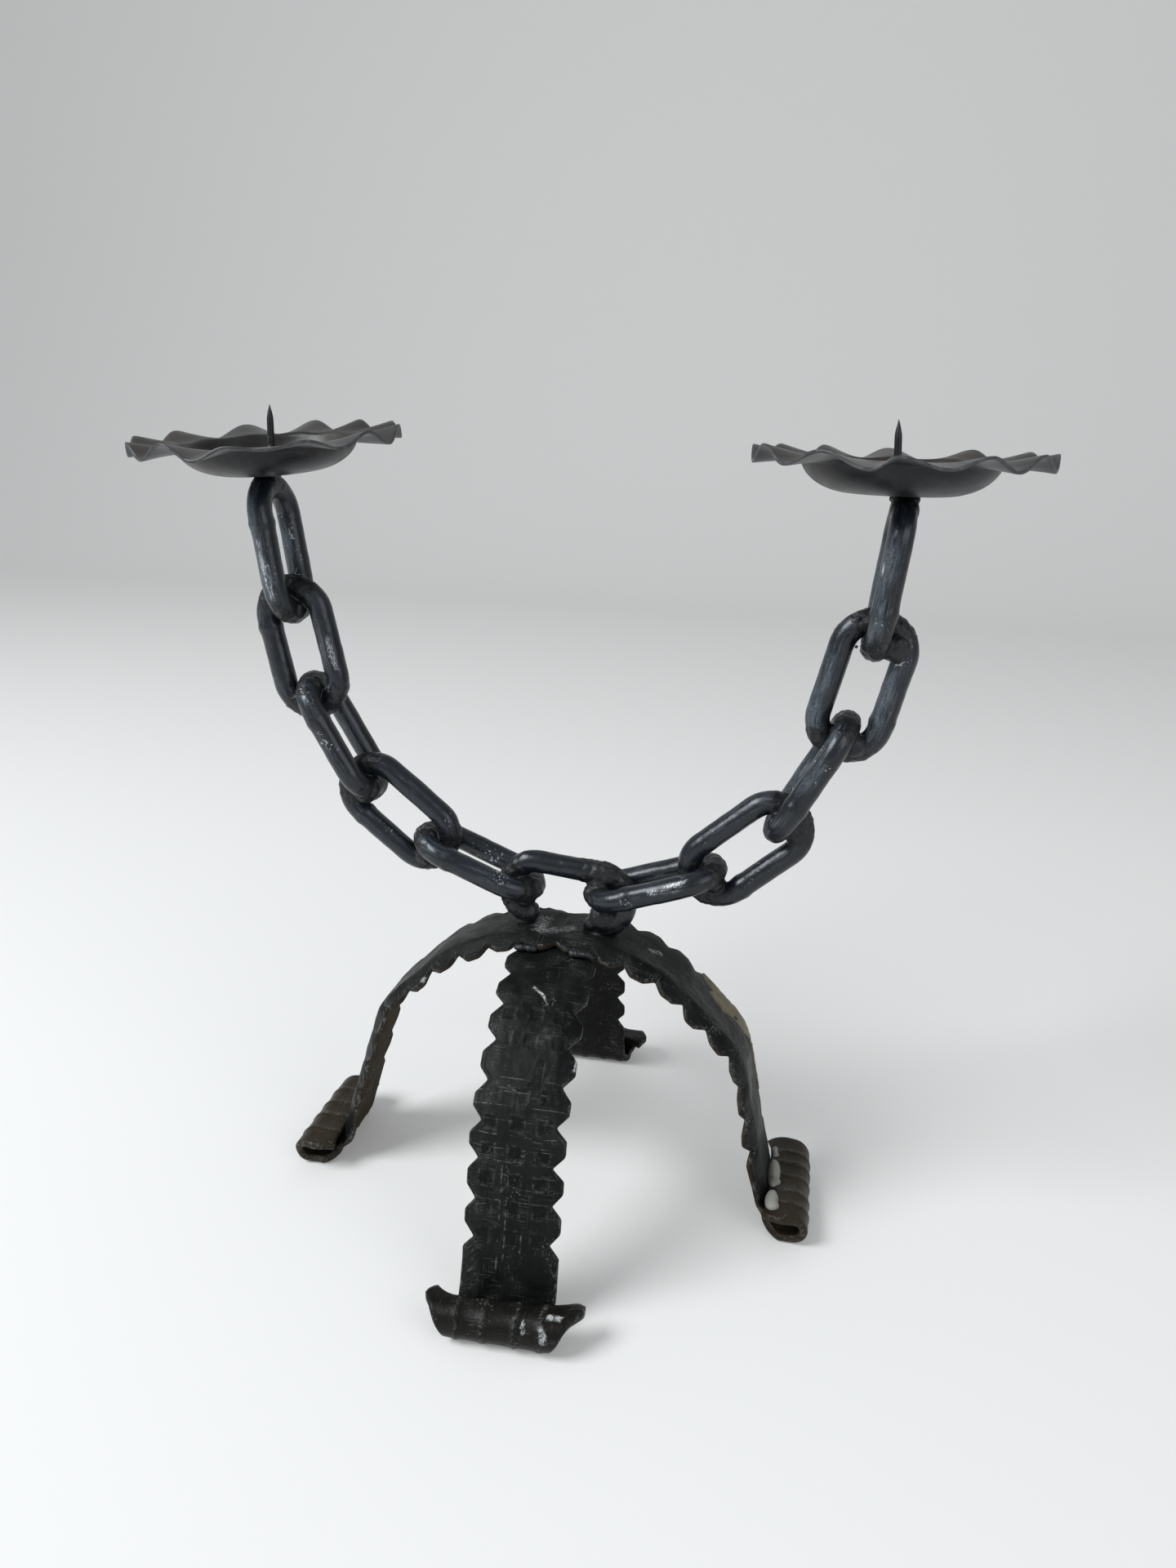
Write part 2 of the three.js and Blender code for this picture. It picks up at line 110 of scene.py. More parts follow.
def sweep_of_paper():
    """Floor that curves up into a backdrop, wide enough for every view."""
    half_width, near, reach, rise, curve, curve_steps = 3.0, -4.0, 1.6, 2.6, 0.8, 16
    paper_white, paper_glow = (0.74, 0.735, 0.72, 1), 0.13
    profile = [(near, 0.0)]
    for i in range(curve_steps + 1):
        angle = math.pi / 2 * i / curve_steps
        profile.append((reach + curve * math.sin(angle), curve * (1 - math.cos(angle))))
    profile.append((reach + curve, rise))
    bm = bmesh.new()
    line = [bm.verts.new((-half_width, y, z)) for y, z in profile]
    edges = [bm.edges.new(pair) for pair in zip(line, line[1:])]
    drawn = bmesh.ops.extrude_edge_only(bm, edges=edges)["geom"]
    far_line = [part for part in drawn if isinstance(part, bmesh.types.BMVert)]
    bmesh.ops.translate(bm, vec=(2 * half_width, 0, 0), verts=far_line)
    for face in bm.faces:
        face.smooth = True
    mesh = bpy.data.meshes.new("stage_sweep")
    bm.to_mesh(mesh)
    bm.free()
    material, tree, shader = new_material("stage_paper")
    seen = add_node(tree, "LightPath").outputs
    straight = larger(tree, seen["Is Camera Ray"], seen["Is Glossy Ray"])
    glow = times(tree, larger(tree, straight, seen["Is Transmission Ray"]), paper_glow)
    tree.links.new(glow, shader.inputs["Emission Strength"])
    shader.inputs["Emission Color"].default_value = (1.0, 0.995, 0.985, 1)
    shader.inputs["Base Color"].default_value = paper_white
    shader.inputs["Roughness"].default_value = 0.9
    shader.inputs["Specular IOR Level"].default_value = 0.1
    mesh.materials.append(material)
    sweep = bpy.data.objects.new("stage_sweep", mesh)
    bpy.context.scene.collection.objects.link(sweep)


lamp_aim = Vector((0, 0, 0.15))  # the middle of the holder


def area_light(name, place, size, power, colour):
    """A round lamp that points at the middle of the holder."""
    data = bpy.data.lights.new(name, "AREA")
    data.shape = "DISK"
    data.size = size
    data.energy = power
    data.color = colour
    lamp = bpy.data.objects.new(name, data)
    lamp.location = place
    lamp.rotation_euler = (lamp_aim - Vector(place)).to_track_quat("-Z", "Y").to_euler()
    bpy.context.scene.collection.objects.link(lamp)


sweep_of_paper()
world = bpy.data.worlds.new("sky")
world.use_nodes = True
sky = world.node_tree.nodes["Background"]
sky.inputs["Color"].default_value = (0.93, 0.96, 1.0, 1)
sky.inputs["Strength"].default_value = 0.42
bpy.context.scene.world = world
area_light("window", (-1.0, -0.7, 1.25), size=0.9, power=25, colour=(0.94, 0.975, 1.0))
area_light("fill", (1.2, -0.9, 0.8), size=1.2, power=6, colour=(0.95, 0.97, 1.0))
bpy.context.scene.view_settings.view_transform = "Standard"


# Chain: eleven oval links of round iron wire, each closed by a butt weld at the middle of one
# side, brushed black and rubbed with silver, the silver also painting highlights where the links
# face up, forward or backward. They are welded stiff in a U, and every second one stands across
# it. The middle one has its lower side cut away and stands on its two bends.

wire_radius = 4.1
link_length = 51.5
link_width = 28.6
bend_radius = link_width / 2 - wire_radius
bend_centre = (link_length - link_width) / 2
end_wire = bend_centre + bend_radius
link_round = 4 * bend_centre + 2 * math.pi * bend_radius
wire_spacing = 2 * wire_radius + 0.3
arm_turns = {"left": (16.4, 17.6, 20.5, 17.5, 4.0), "right": (24.0, 22.4, 20.6, 14.9, 7.2)}
arm_seats = {"left": 5.0, "right": 90.0}
base_height = 105.5
middle_shift = 1.2
middle_tilt = -4.9
middle_sink = 2.0
middle_cut = (-13.4, 11.4)  # from left to right


def along(angle):
    """Unit vector in the chain's plane, at an angle above the horizontal."""
    return Vector((math.cos(angle), 0, math.sin(angle)))


def arm(start, turns, seat_angle):
    """The links of one arm from the middle out, as (centre, angle, across, touch)."""
    links = [start]
    for i, turn in enumerate(turns):
        centre, last, across, _ = links[-1]
        angle = last + math.radians(turn)
        if i == 0:
            seat = along(last + math.radians(seat_angle))
            touch = centre + along(last) * bend_centre + seat * (bend_radius - wire_spacing / 2)
            new = touch - seat * (wire_spacing / 2) + along(angle) * end_wire
        elif across:
            touch = centre + along(last) * end_wire - along(angle) * (wire_spacing / 2)
            new = touch + along(angle) * (end_wire - wire_spacing / 2)
        else:
            touch = centre + along(last) * (end_wire - wire_spacing / 2)
            new = touch - along(last) * (wire_spacing / 2) + along(angle) * end_wire
        links.append((new, angle, not across, touch))
    return links[1:]


def flipped(point):
    """A point of one arm, at its place in the other."""
    return Vector((2 * middle_shift - point.x, 0, point.z))


def mirrored(link):
    centre, angle, across, touch = link
    return flipped(centre), -angle, across, flipped(touch)


middle_centre = Vector((middle_shift, 0, base_height - middle_sink + link_width / 2))
middle_link = (middle_centre, math.radians(middle_tilt), False, middle_centre)
right_arm = arm(middle_link, arm_turns["right"], arm_seats["right"])
left_arm = [mirrored(link) for link in arm(mirrored(middle_link), arm_turns["left"], arm_seats["left"])]
chain = left_arm[::-1] + [middle_link] + right_arm


def link_matrix(link):
    """From a link's own plane, X along and Y across it, to the holder."""
    centre, angle, across, _ = link
    stand = Matrix.Rotation(0 if across else math.pi / 2, 4, "X")
    return Matrix.Translation(centre) @ Matrix.Rotation(-angle, 4, "Y") @ stand


def link_spot(share):
    """Centre of the wire and outward direction at a share of the way round a link."""
    straight = 2 * bend_centre
    second, way = divmod(share % 1.0 * link_round, link_round / 2)
    half = -1 if second else 1
    if way < straight:
        return Vector((half * (bend_centre - way), half * bend_radius, 0)), Vector((0, half, 0))
    angle = math.pi / 2 + (way - straight) / bend_radius
    out = Vector((math.cos(angle), math.sin(angle), 0)) * half
    return out * bend_radius - Vector((half * bend_centre, 0, 0)), out


def cut_away(point):
    """Whether a spot on the middle link's wire is in the lower side that is cut away."""
    return point.z < middle_centre.z and middle_cut[0] < point.x < middle_cut[1]


def rough(point, size, seed=0.0):
    """Noise between about -1 and 1, with features of a size in millimetres."""
    return noise.noise((point + Vector((seed * 37.1, seed * 11.3, seed * 5.7))) / size)


def waves(point, parts, seed=0.0):
    """Sum of noises, given as (height, size in millimetres)."""
    return sum(height * rough(point, size, seed) for height, size in parts)


rag_and_highlight_reach = Vector((-0.42, 0.60, 0.55))  # painted highlight laid with the silver rub: over what faces right, forward or backward, and up
rag_waves = ((0.9, 17.0),)


def rubbed_and_highlit(point, normal):
    """How much silver is rubbed on a spot, set by which way it faces so that it also paints a highlight."""
    faces = max(0.0, rag_and_highlight_reach.dot(Vector((normal.x, abs(normal.y), normal.z))))
    return max(0.0, min(1.0, faces * (1.0 + waves(point, rag_waves, 3.0))))


def strokes(*rows):
    """Strokes of the brush or rag, each as its start, end, radius and what else a row holds."""
    return [(Vector(start), Vector(end), *rest) for start, end, *rest in rows]


def to_stroke(point, start, end):
    """Distance of a point from a straight stroke."""
    run = end - start
    share = 0.0 if run.length_squared == 0 else (point - start).dot(run) / run.length_squared
    return (point - start - run * max(0.0, min(1.0, share))).length


# Bare strokes in the paint of the chain, as seen in the photograph: start, end and radius
chips = strokes(
    ((38.6, -13.9, 129.0), (40.6, -13.9, 131.2), 1.0),
    ((41.2, -13.9, 130.0), (44.6, -13.6, 132.0), 1.1),
    ((33.0, -14.0, 127.4), (38.0, -14.2, 128.6), 0.7),
    ((98.2, -12.4, 238.7), (99.2, -12.4, 240.9), 0.7),
    ((-105.6, -14.1, 239.0), (-104.0, -14.1, 230.0), 0.6),
    ((-103.4, -14.1, 230.6), (-101.4, -14.1, 220.0), 1.0),
    ((-104.8, -13.2, 228.0), (-103.8, -13.2, 223.0), 0.6),
    ((-86.6, -3.9, 206.0), (-84.6, -3.9, 197.0), 0.6),
    ((-85.0, -3.9, 201.0), (-83.6, -3.9, 195.0), 0.5),
    ((-100.5, -3.9, 195.0), (-99.0, -3.9, 188.0), 0.8),
    ((80.2, 9.0, 175.0), (81.4, 9.0, 170.0), 0.5),
)
chip_fade = 2.2  # as a share of its radius


def chipped(point, normal):
    """How far the paint is off at a spot, whichever way it faces."""
    return max(0.0, max(1 - to_stroke(point, *ends) / (chip_fade * size) for *ends, size in chips))


def new_group(name, inputs, output):
    """A node group with float inputs, given by name and default, and one named output."""
    group = bpy.data.node_groups.new(name, "ShaderNodeTree")
    for label, value in inputs.items():
        socket = group.interface.new_socket(label, in_out="INPUT", socket_type="NodeSocketFloat")
        socket.default_value = value
    group.interface.new_socket(output, in_out="OUTPUT", socket_type="NodeSocketFloat")
    return group, add_node(group, "TexCoord").outputs["Object"], group.nodes.new("NodeGroupInput").outputs


def close_group(group, result):
    group.links.new(result, group.nodes.new("NodeGroupOutput").inputs[0])
    return group


def use_group(tree, group, **values):
    """A node group with its inputs given by name."""
    inputs = {label.replace("_", " "): value for label, value in values.items()}
    return add_node(tree, "Group", inputs, node_tree=group).outputs[0]


def plus(tree, a, b):
    return math_node(tree, "ADD", a, b)


def minus(tree, a, b):
    return math_node(tree, "SUBTRACT", a, b)


def apart(tree, a, b):
    return math_node(tree, "ABSOLUTE", minus(tree, a, b))


def ramp(tree, value, low, high):
    """Smooth step of a value from 0 at low to 1 at high."""
    inputs = {"Value": value, "From Min": low, "From Max": high}
    return add_node(tree, "MapRange", inputs, interpolation_type="SMOOTHSTEP").outputs["Result"]


def noise_value(tree, vector, scale, detail=4.0, roughness=0.55, distortion=0.0):
    inputs = {"Vector": vector, "Scale": scale, "Detail": detail, "Roughness": roughness}
    return add_node(tree, "TexNoise", {**inputs, "Distortion": distortion}).outputs["Fac"]


def flecks(tree, place, scale, low, high, detail=4.0, roughness=0.7):
    """A noise that is cut into soft flecks between a low and a high limit."""
    return ramp(tree, noise_value(tree, place, scale, detail, roughness), low, high)


def patches_group():
    """Soft cloudy patches: where dust lies or a wipe took it off."""
    group, place, given = new_group("patches", {"Scale": 60.0, "Cover": 0.5}, "Mask")
    cloud = noise_value(group, place, given["Scale"], detail=5.0, roughness=0.62, distortion=0.4)
    low = minus(group, 0.75, times(group, given["Cover"], 0.5))
    return close_group(group, ramp(group, cloud, low, plus(group, low, 0.16)))


def speckle_group():
    """Small bright specks and crumbs, thick in some places and absent in others."""
    group, place, given = new_group("speckle", {"Scale": 900.0, "Cover": 0.5}, "Mask")
    fine = noise_value(group, place, given["Scale"], detail=2.0, roughness=0.5)
    where = flecks(group, place, 75.0, 0.42, 0.72, detail=3.0, roughness=0.6)
    limit = minus(group, 0.86, times(group, given["Cover"], where))
    return close_group(group, ramp(group, fine, limit, plus(group, limit, 0.07)))


def grain_group():
    """Height of a brushed and forged skin: dents, scale and fine grit, each between 0 and 1."""
    group, place, given = new_group("grain", {"Dents": 1.0, "Scale skin": 1.0, "Grit": 1.0}, "Height")
    dents = noise_value(group, place, 140.0, detail=2.0, roughness=0.5)
    skin = noise_value(group, place, 520.0, detail=5.0, roughness=0.65)
    grit = noise_value(group, place, 2400.0, detail=2.0, roughness=0.5)
    total = times(group, dents, given["Dents"])
    for layer, label, weight in ((skin, "Scale skin", 0.35), (grit, "Grit", 0.08)):
        total = plus(group, total, times(group, times(group, layer, given[label]), weight))
    return close_group(group, total)


patches = patches_group()
speckle = speckle_group()
grain = grain_group()


def attribute(tree, name):
    return add_node(tree, "Attribute", attribute_name=name).outputs["Fac"]


def mix_colours(tree, factor, a, b):
    a, b = ((*colour, 1) if isinstance(colour, tuple) else colour for colour in (a, b))
    return add_node(tree, "Mix", {"Factor": factor, 6: a, 7: b}, data_type="RGBA").outputs[2]


def mix_values(tree, factor, a, b):
    return add_node(tree, "Mix", {"Factor": factor, "A": a, "B": b}, data_type="FLOAT").outputs["Result"]


def finish(tree, shader, tone, roughness, skin, depth, strength, metallic=0.0, specular=0.5):
    """Feeds a shader its colour, its roughness and the relief of its skin."""
    tree.links.new(tone, shader.inputs["Base Color"])
    tree.links.new(roughness, shader.inputs["Roughness"])
    shader.inputs["Metallic"].default_value = metallic
    shader.inputs["Specular IOR Level"].default_value = specular
    bump = add_node(tree, "Bump", {"Height": skin, "Distance": depth, "Strength": strength})
    tree.links.new(bump.outputs["Normal"], shader.inputs["Normal"])


pale_crumbs = (0.55, 0.57, 0.60)
bare_iron = (0.52, 0.55, 0.58)


def painted_iron(name, black, silver, rub_and_highlight_amount, roughness, flowing=False):
    """Black paint rubbed with silver, which also paints highlights. The mesh's attributes say where the
    rag passed and a highlight lies, chip where paint is off, and flow stretches the streaks along the wire."""
    material, tree, shader = new_material(name)
    place = add_node(tree, "TexCoord").outputs["Object"]
    if flowing:
        flow = add_node(tree, "Attribute", attribute_name="flow").outputs["Vector"]
        inputs = {"Vector": flow, "W": attribute(tree, "flow_across")}
        inputs.update(Scale=1.3, Detail=8.0, Roughness=0.74)
        streaks = add_node(tree, "TexNoise", inputs, noise_dimensions="4D").outputs["Fac"]
    else:
        streaks = noise_value(tree, place, 420.0, detail=6.0, roughness=0.7, distortion=0.6)
    # The silver is laid by which way the surface faces, so it also paints highlights.
    reach = times(tree, attribute(tree, "rub_and_highlight"), rub_and_highlight_amount)
    limit = minus(tree, 0.70, times(tree, reach, 0.36))
    rub_and_highlight_mask = ramp(tree, streaks, minus(tree, limit, 0.05), plus(tree, limit, 0.27))
    rub_and_highlight_mask = times(tree, rub_and_highlight_mask, flecks(tree, place, 1500.0, 0.18, 0.62, detail=3.0))
    fog = use_group(tree, patches, Scale=48.0, Cover=0.7)
    crumbs = times(tree, use_group(tree, speckle, Scale=1100.0, Cover=0.34), reach)
    tone = mix_colours(tree, times(tree, fog, 0.5), black, tuple(2.4 * part for part in black))
    tone = mix_colours(tree, times(tree, rub_and_highlight_mask, 0.80), tone, silver)
    tone = mix_colours(tree, crumbs, tone, pale_crumbs)
    torn = flecks(tree, place, 2100.0, 0.36, 0.60, detail=5.0, roughness=0.75)
    torn = times(tree, torn, ramp(tree, streaks, 0.34, 0.62))
    bare = ramp(tree, times(tree, attribute(tree, "chip"), torn), 0.05, 0.60)
    tone = mix_colours(tree, bare, tone, bare_iron)
    rubbed_roughness = mix_values(tree, rub_and_highlight_mask, roughness, roughness + 0.14)
    skin = use_group(tree, grain, Dents=1.0, Scale_skin=0.9, Grit=1.0)
    finish(tree, shader, tone, rubbed_roughness, skin, depth=0.0007, strength=0.38, metallic=0.12)
    return material


chain_black = (0.0054, 0.0076, 0.0108)
chain_silver = (0.128, 0.152, 0.178)
chain_paint = painted_iron("chain_paint", chain_black, chain_silver, 0.96, roughness=0.27, flowing=True)


def put_in_frame(name, bm, material, nodes=(), marks=None):
    """A piece from a closed bmesh in millimetres. Marks gives vertex attributes that follow from
    a vertex's place and normal."""
    bmesh.ops.recalc_face_normals(bm, faces=bm.faces)
    bm.normal_update()
    for label, rule in (marks or {}).items():
        layer = bm.verts.layers.float.new(label)
        for vertex in bm.verts:
            vertex[layer] = rule(vertex.co, vertex.normal)
    for face in bm.faces:
        face.smooth = True
    bmesh.ops.transform(bm, matrix=to_frame, verts=bm.verts)
    mesh = bpy.data.meshes.new(name)
    bm.to_mesh(mesh)
    bm.free()
    mesh.materials.append(material)
    piece = bpy.data.objects.new(name, mesh)
    bpy.context.scene.collection.objects.link(piece)
    if nodes:
        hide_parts(*nodes)
    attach(piece, "root")


wire_sides = 32
wire_steps = 108
wire_wobble = 0.16
middle_wobble = 0.256  # of the link that was cut and hammered
wobble_waves = ((1.0, 9.0), (0.55, 3.2))
butt_weld_place = 0.52  # as a share of the way round
butt_weld_height = 0.35
butt_weld_width = 1.6
butt_weld_waves = ((0.5, 1.6),)
burr_place = Vector((-14.6, -1.0, 131.0))  # hammered up on the middle link
burr_height = 1.0
burr_spread = 2.2
streak_length = 9.0
streak_width = 1.0
rub_and_highlight_per_link = (1.65, 0.8, 0.9, 0.70, 0.8, 0.25, 0.66, 0.62, 0.9, 1.1, 1.4)  # silver rub of each link, which also paints its highlights, from the left
seam_reach = 0.001  # over which the ends of a skin are joined


def close_skin(bm):
    """Joins the seams of a wrapped sheet and fills the ends that are left open."""
    bmesh.ops.remove_doubles(bm, verts=bm.verts, dist=seam_reach)
    bmesh.ops.holes_fill(bm, edges=[edge for edge in bm.edges if edge.is_boundary])


def wire_skin(place, shares, number, wobble):
    """A sheet of squares, wrapped round a link's wire at the given shares of the way round."""
    bm = bmesh.new()
    flow = bm.verts.layers.float_vector.new("flow")
    flow_across = bm.verts.layers.float.new("flow_across")
    made = bmesh.ops.create_grid(bm, x_segments=len(shares) - 1, y_segments=wire_sides, size=1)
    long_way = link_round / (2 * math.pi * streak_length)
    round_way = wire_radius / streak_width
    for column, share in enumerate(shares):
        centre, out = link_spot(share)
        away = abs(share - butt_weld_place)
        seam = min(away, 1 - away) * link_round / butt_weld_width
        collar = butt_weld_height * math.exp(-(seam**2))
        for row, vertex in enumerate(made["verts"][column :: len(shares)]):
            around = 2 * math.pi * row / wire_sides
            direction = out * math.cos(around) + Vector((0, 0, math.sin(around)))
            spot = place @ (centre + direction * wire_radius)
            swell = wobble * waves(spot, wobble_waves, number)
            swell += collar * (1 + waves(spot, butt_weld_waves, number))
            swell += burr_height * math.exp(-(spot - burr_place).length_squared / burr_spread)
            vertex.co = place @ (centre + direction * (wire_radius + swell))
            turn = 2 * math.pi * share
            circle = Vector((math.cos(turn), math.sin(turn))) * long_way
            vertex[flow] = (circle.x + number, circle.y, math.cos(around) * round_way)
            vertex[flow_across] = math.sin(around) * round_way
    close_skin(bm)
    return bm


for number, link in enumerate(chain, start=1):
    place = link_matrix(link)
    shares = [i / wire_steps for i in range(wire_steps + 1)]
    wobble = wire_wobble
    if link is middle_link:
        wobble = middle_wobble
        kept = [share for share in shares[:-1] if not cut_away(place @ link_spot(share)[0])]
        gaps = [(after - before) % 1 for before, after in zip(kept, kept[1:] + kept[:1])]
        first = gaps.index(max(gaps)) + 1
        shares = kept[first:] + kept[:first]
    name = "chain_link_%02d" % number
    amount = rub_and_highlight_per_link[number - 1]
    # Each link's silver rub also paints its highlights.
    marks = {"rub_and_highlight": lambda spot, normal: amount * rubbed_and_highlit(spot, normal), "chip": chipped}
    skin = wire_skin(place, shares, number, wobble)
    put_in_frame("wire_" + name, skin, chain_paint, [name], marks)


# Welds of the chain: each contact between two links is filled by an arc-welded lump of iron that
# flows over both wires, painted black with the rest. Drops of spatter stick beside some.

weld_black = (0.0032, 0.0038, 0.0046)
weld_silver = (0.032, 0.036, 0.040)
weld_paint = painted_iron("weld_paint", weld_black, weld_silver, 0.4, roughness=0.46)
weld_reach = 8.5  # along each wire from the contact
weld_skin = 0.45  # of the lump over the wires
weld_core = wire_radius + 0.8
weld_sink = 1.9  # of the skin into the wire at the ends, as a share of its thickness
weld_waves = ((0.15, 3.0),)
wire_stations = 220  # round a link
ripple_waves = ((1.0, 2.2), (0.4, 0.9))


def lump(bm, centre, radius, stretch=(1, 1, 1), detail=2):
    """A ball of metal or wax, stretched along the holder's axes."""
    grown = Matrix.Translation(centre) @ Matrix.Diagonal((*[radius * part for part in stretch], 1))
    bmesh.ops.create_icosphere(bm, subdivisions=detail, radius=1, matrix=grown)


def fused(bm, voxel, passes, ripple, seed):
    """The union of a bmesh's bodies, voxel remeshed and smoothed so that they flow together."""
    mesh = bpy.data.meshes.new("fused")
    bm.to_mesh(mesh)
    bm.free()
    helper = bpy.data.objects.new("fused", mesh)
    bpy.context.scene.collection.objects.link(helper)
    remesh = helper.modifiers.new("remesh", "REMESH")
    remesh.mode = "VOXEL"
    remesh.voxel_size = voxel
    smooth = helper.modifiers.new("smooth", "SMOOTH")
    smooth.factor = 0.5
    smooth.iterations = passes
    view = bpy.context.evaluated_depsgraph_get()
    shaped = bpy.data.meshes.new_from_object(helper.evaluated_get(view))
    bpy.data.objects.remove(helper)
    result = bmesh.new()
    result.from_mesh(shaped)
    bpy.data.meshes.remove(shaped)
    bpy.data.meshes.remove(mesh)
    result.normal_update()
    for vertex in result.verts:
        vertex.co += vertex.normal * ripple * waves(vertex.co, ripple_waves, seed)
    return result


def wire_near(bm, link, touch, reach, seed):
    """Lumps along a link's wire on both sides of a contact, that sink into it at the ends."""
    place = link_matrix(link)
    for spot in (place @ link_spot(i / wire_stations)[0] for i in range(wire_stations)):
        away = (spot - touch).length - wire_radius
        if away < reach and not (link is middle_link and cut_away(spot)):
            cover = weld_skin * (1 - weld_sink * max(0.0, away / reach) ** 1.5)
            lump(bm, spot, wire_radius + cover + waves(spot, weld_waves, seed))


def put_weld(name, body):
    """A lump of weld, painted and brushed with the pieces it joins; its silver rub also paints highlights.
    """
    put_in_frame("bead_" + name, body, weld_paint, [name], {"rub_and_highlight": rubbed_and_highlit})


# Extra metal at the contacts, counted from the left, as seen in the photograph: centre beside
# the contact, and radius
fillets = {
    1: [((3.0, -2.0, -3.5), 3.6)],
    2: [((-2.5, -3.0, 1.0), 3.4)],
    3: [((1.5, -3.0, -4.0), 4.0)],
    4: [((-3.0, -3.0, -3.5), 3.8)],
    5: [((2.0, -2.5, -4.0), 4.0), ((-3.0, -1.0, -4.0), 3.0)],
    6: [((-2.0, -2.5, -3.0), 3.8)],
    7: [((3.0, -2.5, -1.0), 3.8), ((4.0, 2.0, -3.0), 3.2)],
    8: [((-1.0, -3.6, 0.0), 4.6), ((3.5, -1.0, -3.5), 4.0)],
    9: [((3.5, -3.0, -2.0), 4.2), ((0.5, -3.5, 2.0), 3.6)],
    10: [((5.0, -2.0, -3.0), 5.0), ((7.5, -0.5, -6.0), 3.9), ((3.5, 1.0, 2.5), 3.6)],
}
spatter = {
    2: [((-4.5, -4.4, -5.0), 0.55)],
    4: [((2.5, -6.6, -5.5), 0.95), ((1.2, -6.9, -4.6), 0.5)],
    5: [((-6.0, -3.4, -5.6), 0.7), ((-4.2, -4.2, -6.4), 0.55)],
    6: [((-5.0, -4.4, 3.6), 0.6)],
    10: [
        ((-6.9, -3.6, 5.4), 0.75),
        ((-6.4, -3.0, 3.6), 0.6),
        ((-4.8, -4.2, -1.5), 0.7),
        ((-6.8, -3.6, -3.6), 0.55),
    ],
}

for number, (left_link, right_link) in enumerate(zip(chain, chain[1:]), start=1):
    outer = left_link if number <= len(left_arm) else right_link
    touch = outer[3]
    bm = bmesh.new()
    wire_near(bm, left_link, touch, weld_reach, number)
    wire_near(bm, right_link, touch, weld_reach, number + 20)
    lump(bm, touch, weld_core, detail=3)
    for offset, radius in fillets[number]:
        lump(bm, touch + Vector(offset), radius, detail=3)
    body = fused(bm, voxel=0.42, passes=4, ripple=0.32, seed=number)
    for offset, radius in spatter.get(number, ()):
        lump(body, touch + Vector(offset), radius)
    put_weld("weld_links_%02d" % number, body)


# Flat bars of the base: two bars of 32 by 3 mm flat iron cross at the crown, arched to four legs.
# Their edges are cut with a chisel into notches and hammered down, the front leg is stamped with
# rows of squares, and the ends are splayed to a fishtail and rolled up into fluted feet.

bar_width = 32.0
bar_thickness = 3.0
bar_edge_thickness = 2.4
bar_edge_reach = 6.0  # over which the bar thins to its edge
bar_corner = 0.5  # rounded off at the edge
bar_corner_reach = 0.55
bar_dents = ((0.20, 8.0), (0.09, 2.6))  # depth and size
lower_dents = -0.6  # of the lower face, as a share of the upper one's
hammer_end = (-6.0, 0.0)  # from the leg's end, over which the hammering stops
foot_start = (-2.0, 3.0)  # from the leg's end, over which the foot's finish begins
edge_droops = {  # near and far
    "left": (2.8, 0.1),
    "right": (2.2, 0.1),
    "front": (1.2, 1.2),
    "back": (1.2, 1.2),
}
crown_droop = 1.1
droop_reach = 6.8  # in from the edge
droop_unevenness = 0.5
crown_reach = (13.0, 20.0)  # over which the droop changes from the crown's to the leg's
rim_width = 1.7
rim_step = 0.26
rim_blend = 0.35
notch_depth = 3.7
notch_mouth = 8.4
notch_pitch = 13.0
notch_shift = 0.7
notch_unevenness = 0.22  # of its depth
notch_round = 0.12  # of its valley
notch_blend = 0.045  # softness of its mouth, as a share of its depth
notches_per_leg = 9
shoulder_radius = 63.0
shoulder_turn = 45.0
knee_radius = 24.0
legs = {
    "left": {"flat": 5.5, "slope": 18.0, "knee": 29.0, "pad": 40.0, "seed": 1},
    "right": {"flat": 4.0, "slope": 20.0, "knee": 32.0, "pad": 43.0, "seed": 2},
    "front": {"flat": 4.0, "slope": 17.0, "knee": 32.0, "pad": 30.0, "seed": 5},
    "back": {"flat": 4.0, "slope": 19.0, "knee": 32.0, "pad": 36.0, "seed": 6},
}
crossing_turn = math.radians(91.8)
lower_bar_shift = -1.0
lower_bar_height = 101.963
roll_radius = 5.2
foot_pad_length = 4.0
roll_lips = {"left": 5.5, "right": 5.2, "front": 2.2, "back": 4.0}
roll_lip_radius = 12.0
roll_lip_turn = 25.0
fishtail_width = 50.0
fishtail_depths = {"left": 1.4, "right": 2.0, "front": 5.0, "back": 3.2}
fishtail_reach = 9.0  # back from the lip
fishtail_taper = 2.6
front_tail_skew = 1.5
front_horn = 3.2  # by which the tail's right corner sticks out further
fishtail_start = 2.3  # of the full width, after the roll's half turn
foot_edge_wobble = 0.35
station_step = notch_pitch / 24
across_steps = 64

stamp_size = 4.3
stamp_depth = 0.55
stamp_line = 0.12  # height of the metal pushed up round a square
stamp_columns = (-9.1, 0.0, 9.1)
stamp_reach = 6.0  # of a row to both sides
stamp_skew = 0.35  # of a square from its place
stamp_wall = (-0.55, 0.25)  # from a square's outline, over which it sinks
stamp_rows = {  # on the front leg: distance from the crown's middle, and how deep it was struck
    42.5: 0.45,
    51.5: 0.35,
    60.5: 0.12,
    69.5: 0.45,
    78.0: 0.75,
    87.0: 1.0,
    96.0: 1.0,
    105.5: 0.85,
    115.0: 0.6,
}
flute_lines = {  # across each foot's roll
    "front": (-13.2, -4.5, 5.8, 14.0),
    "right": (-15.5, -8.5, 0.5, 8.0, 15.0),
    "left": (-14.5, -5.0, 3.5, 12.5),
    "back": (-12.0, -3.0, 6.0, 13.5),
}
flute_depth = 0.42
flute_start = (-1.5, 3.0)  # from the leg's end
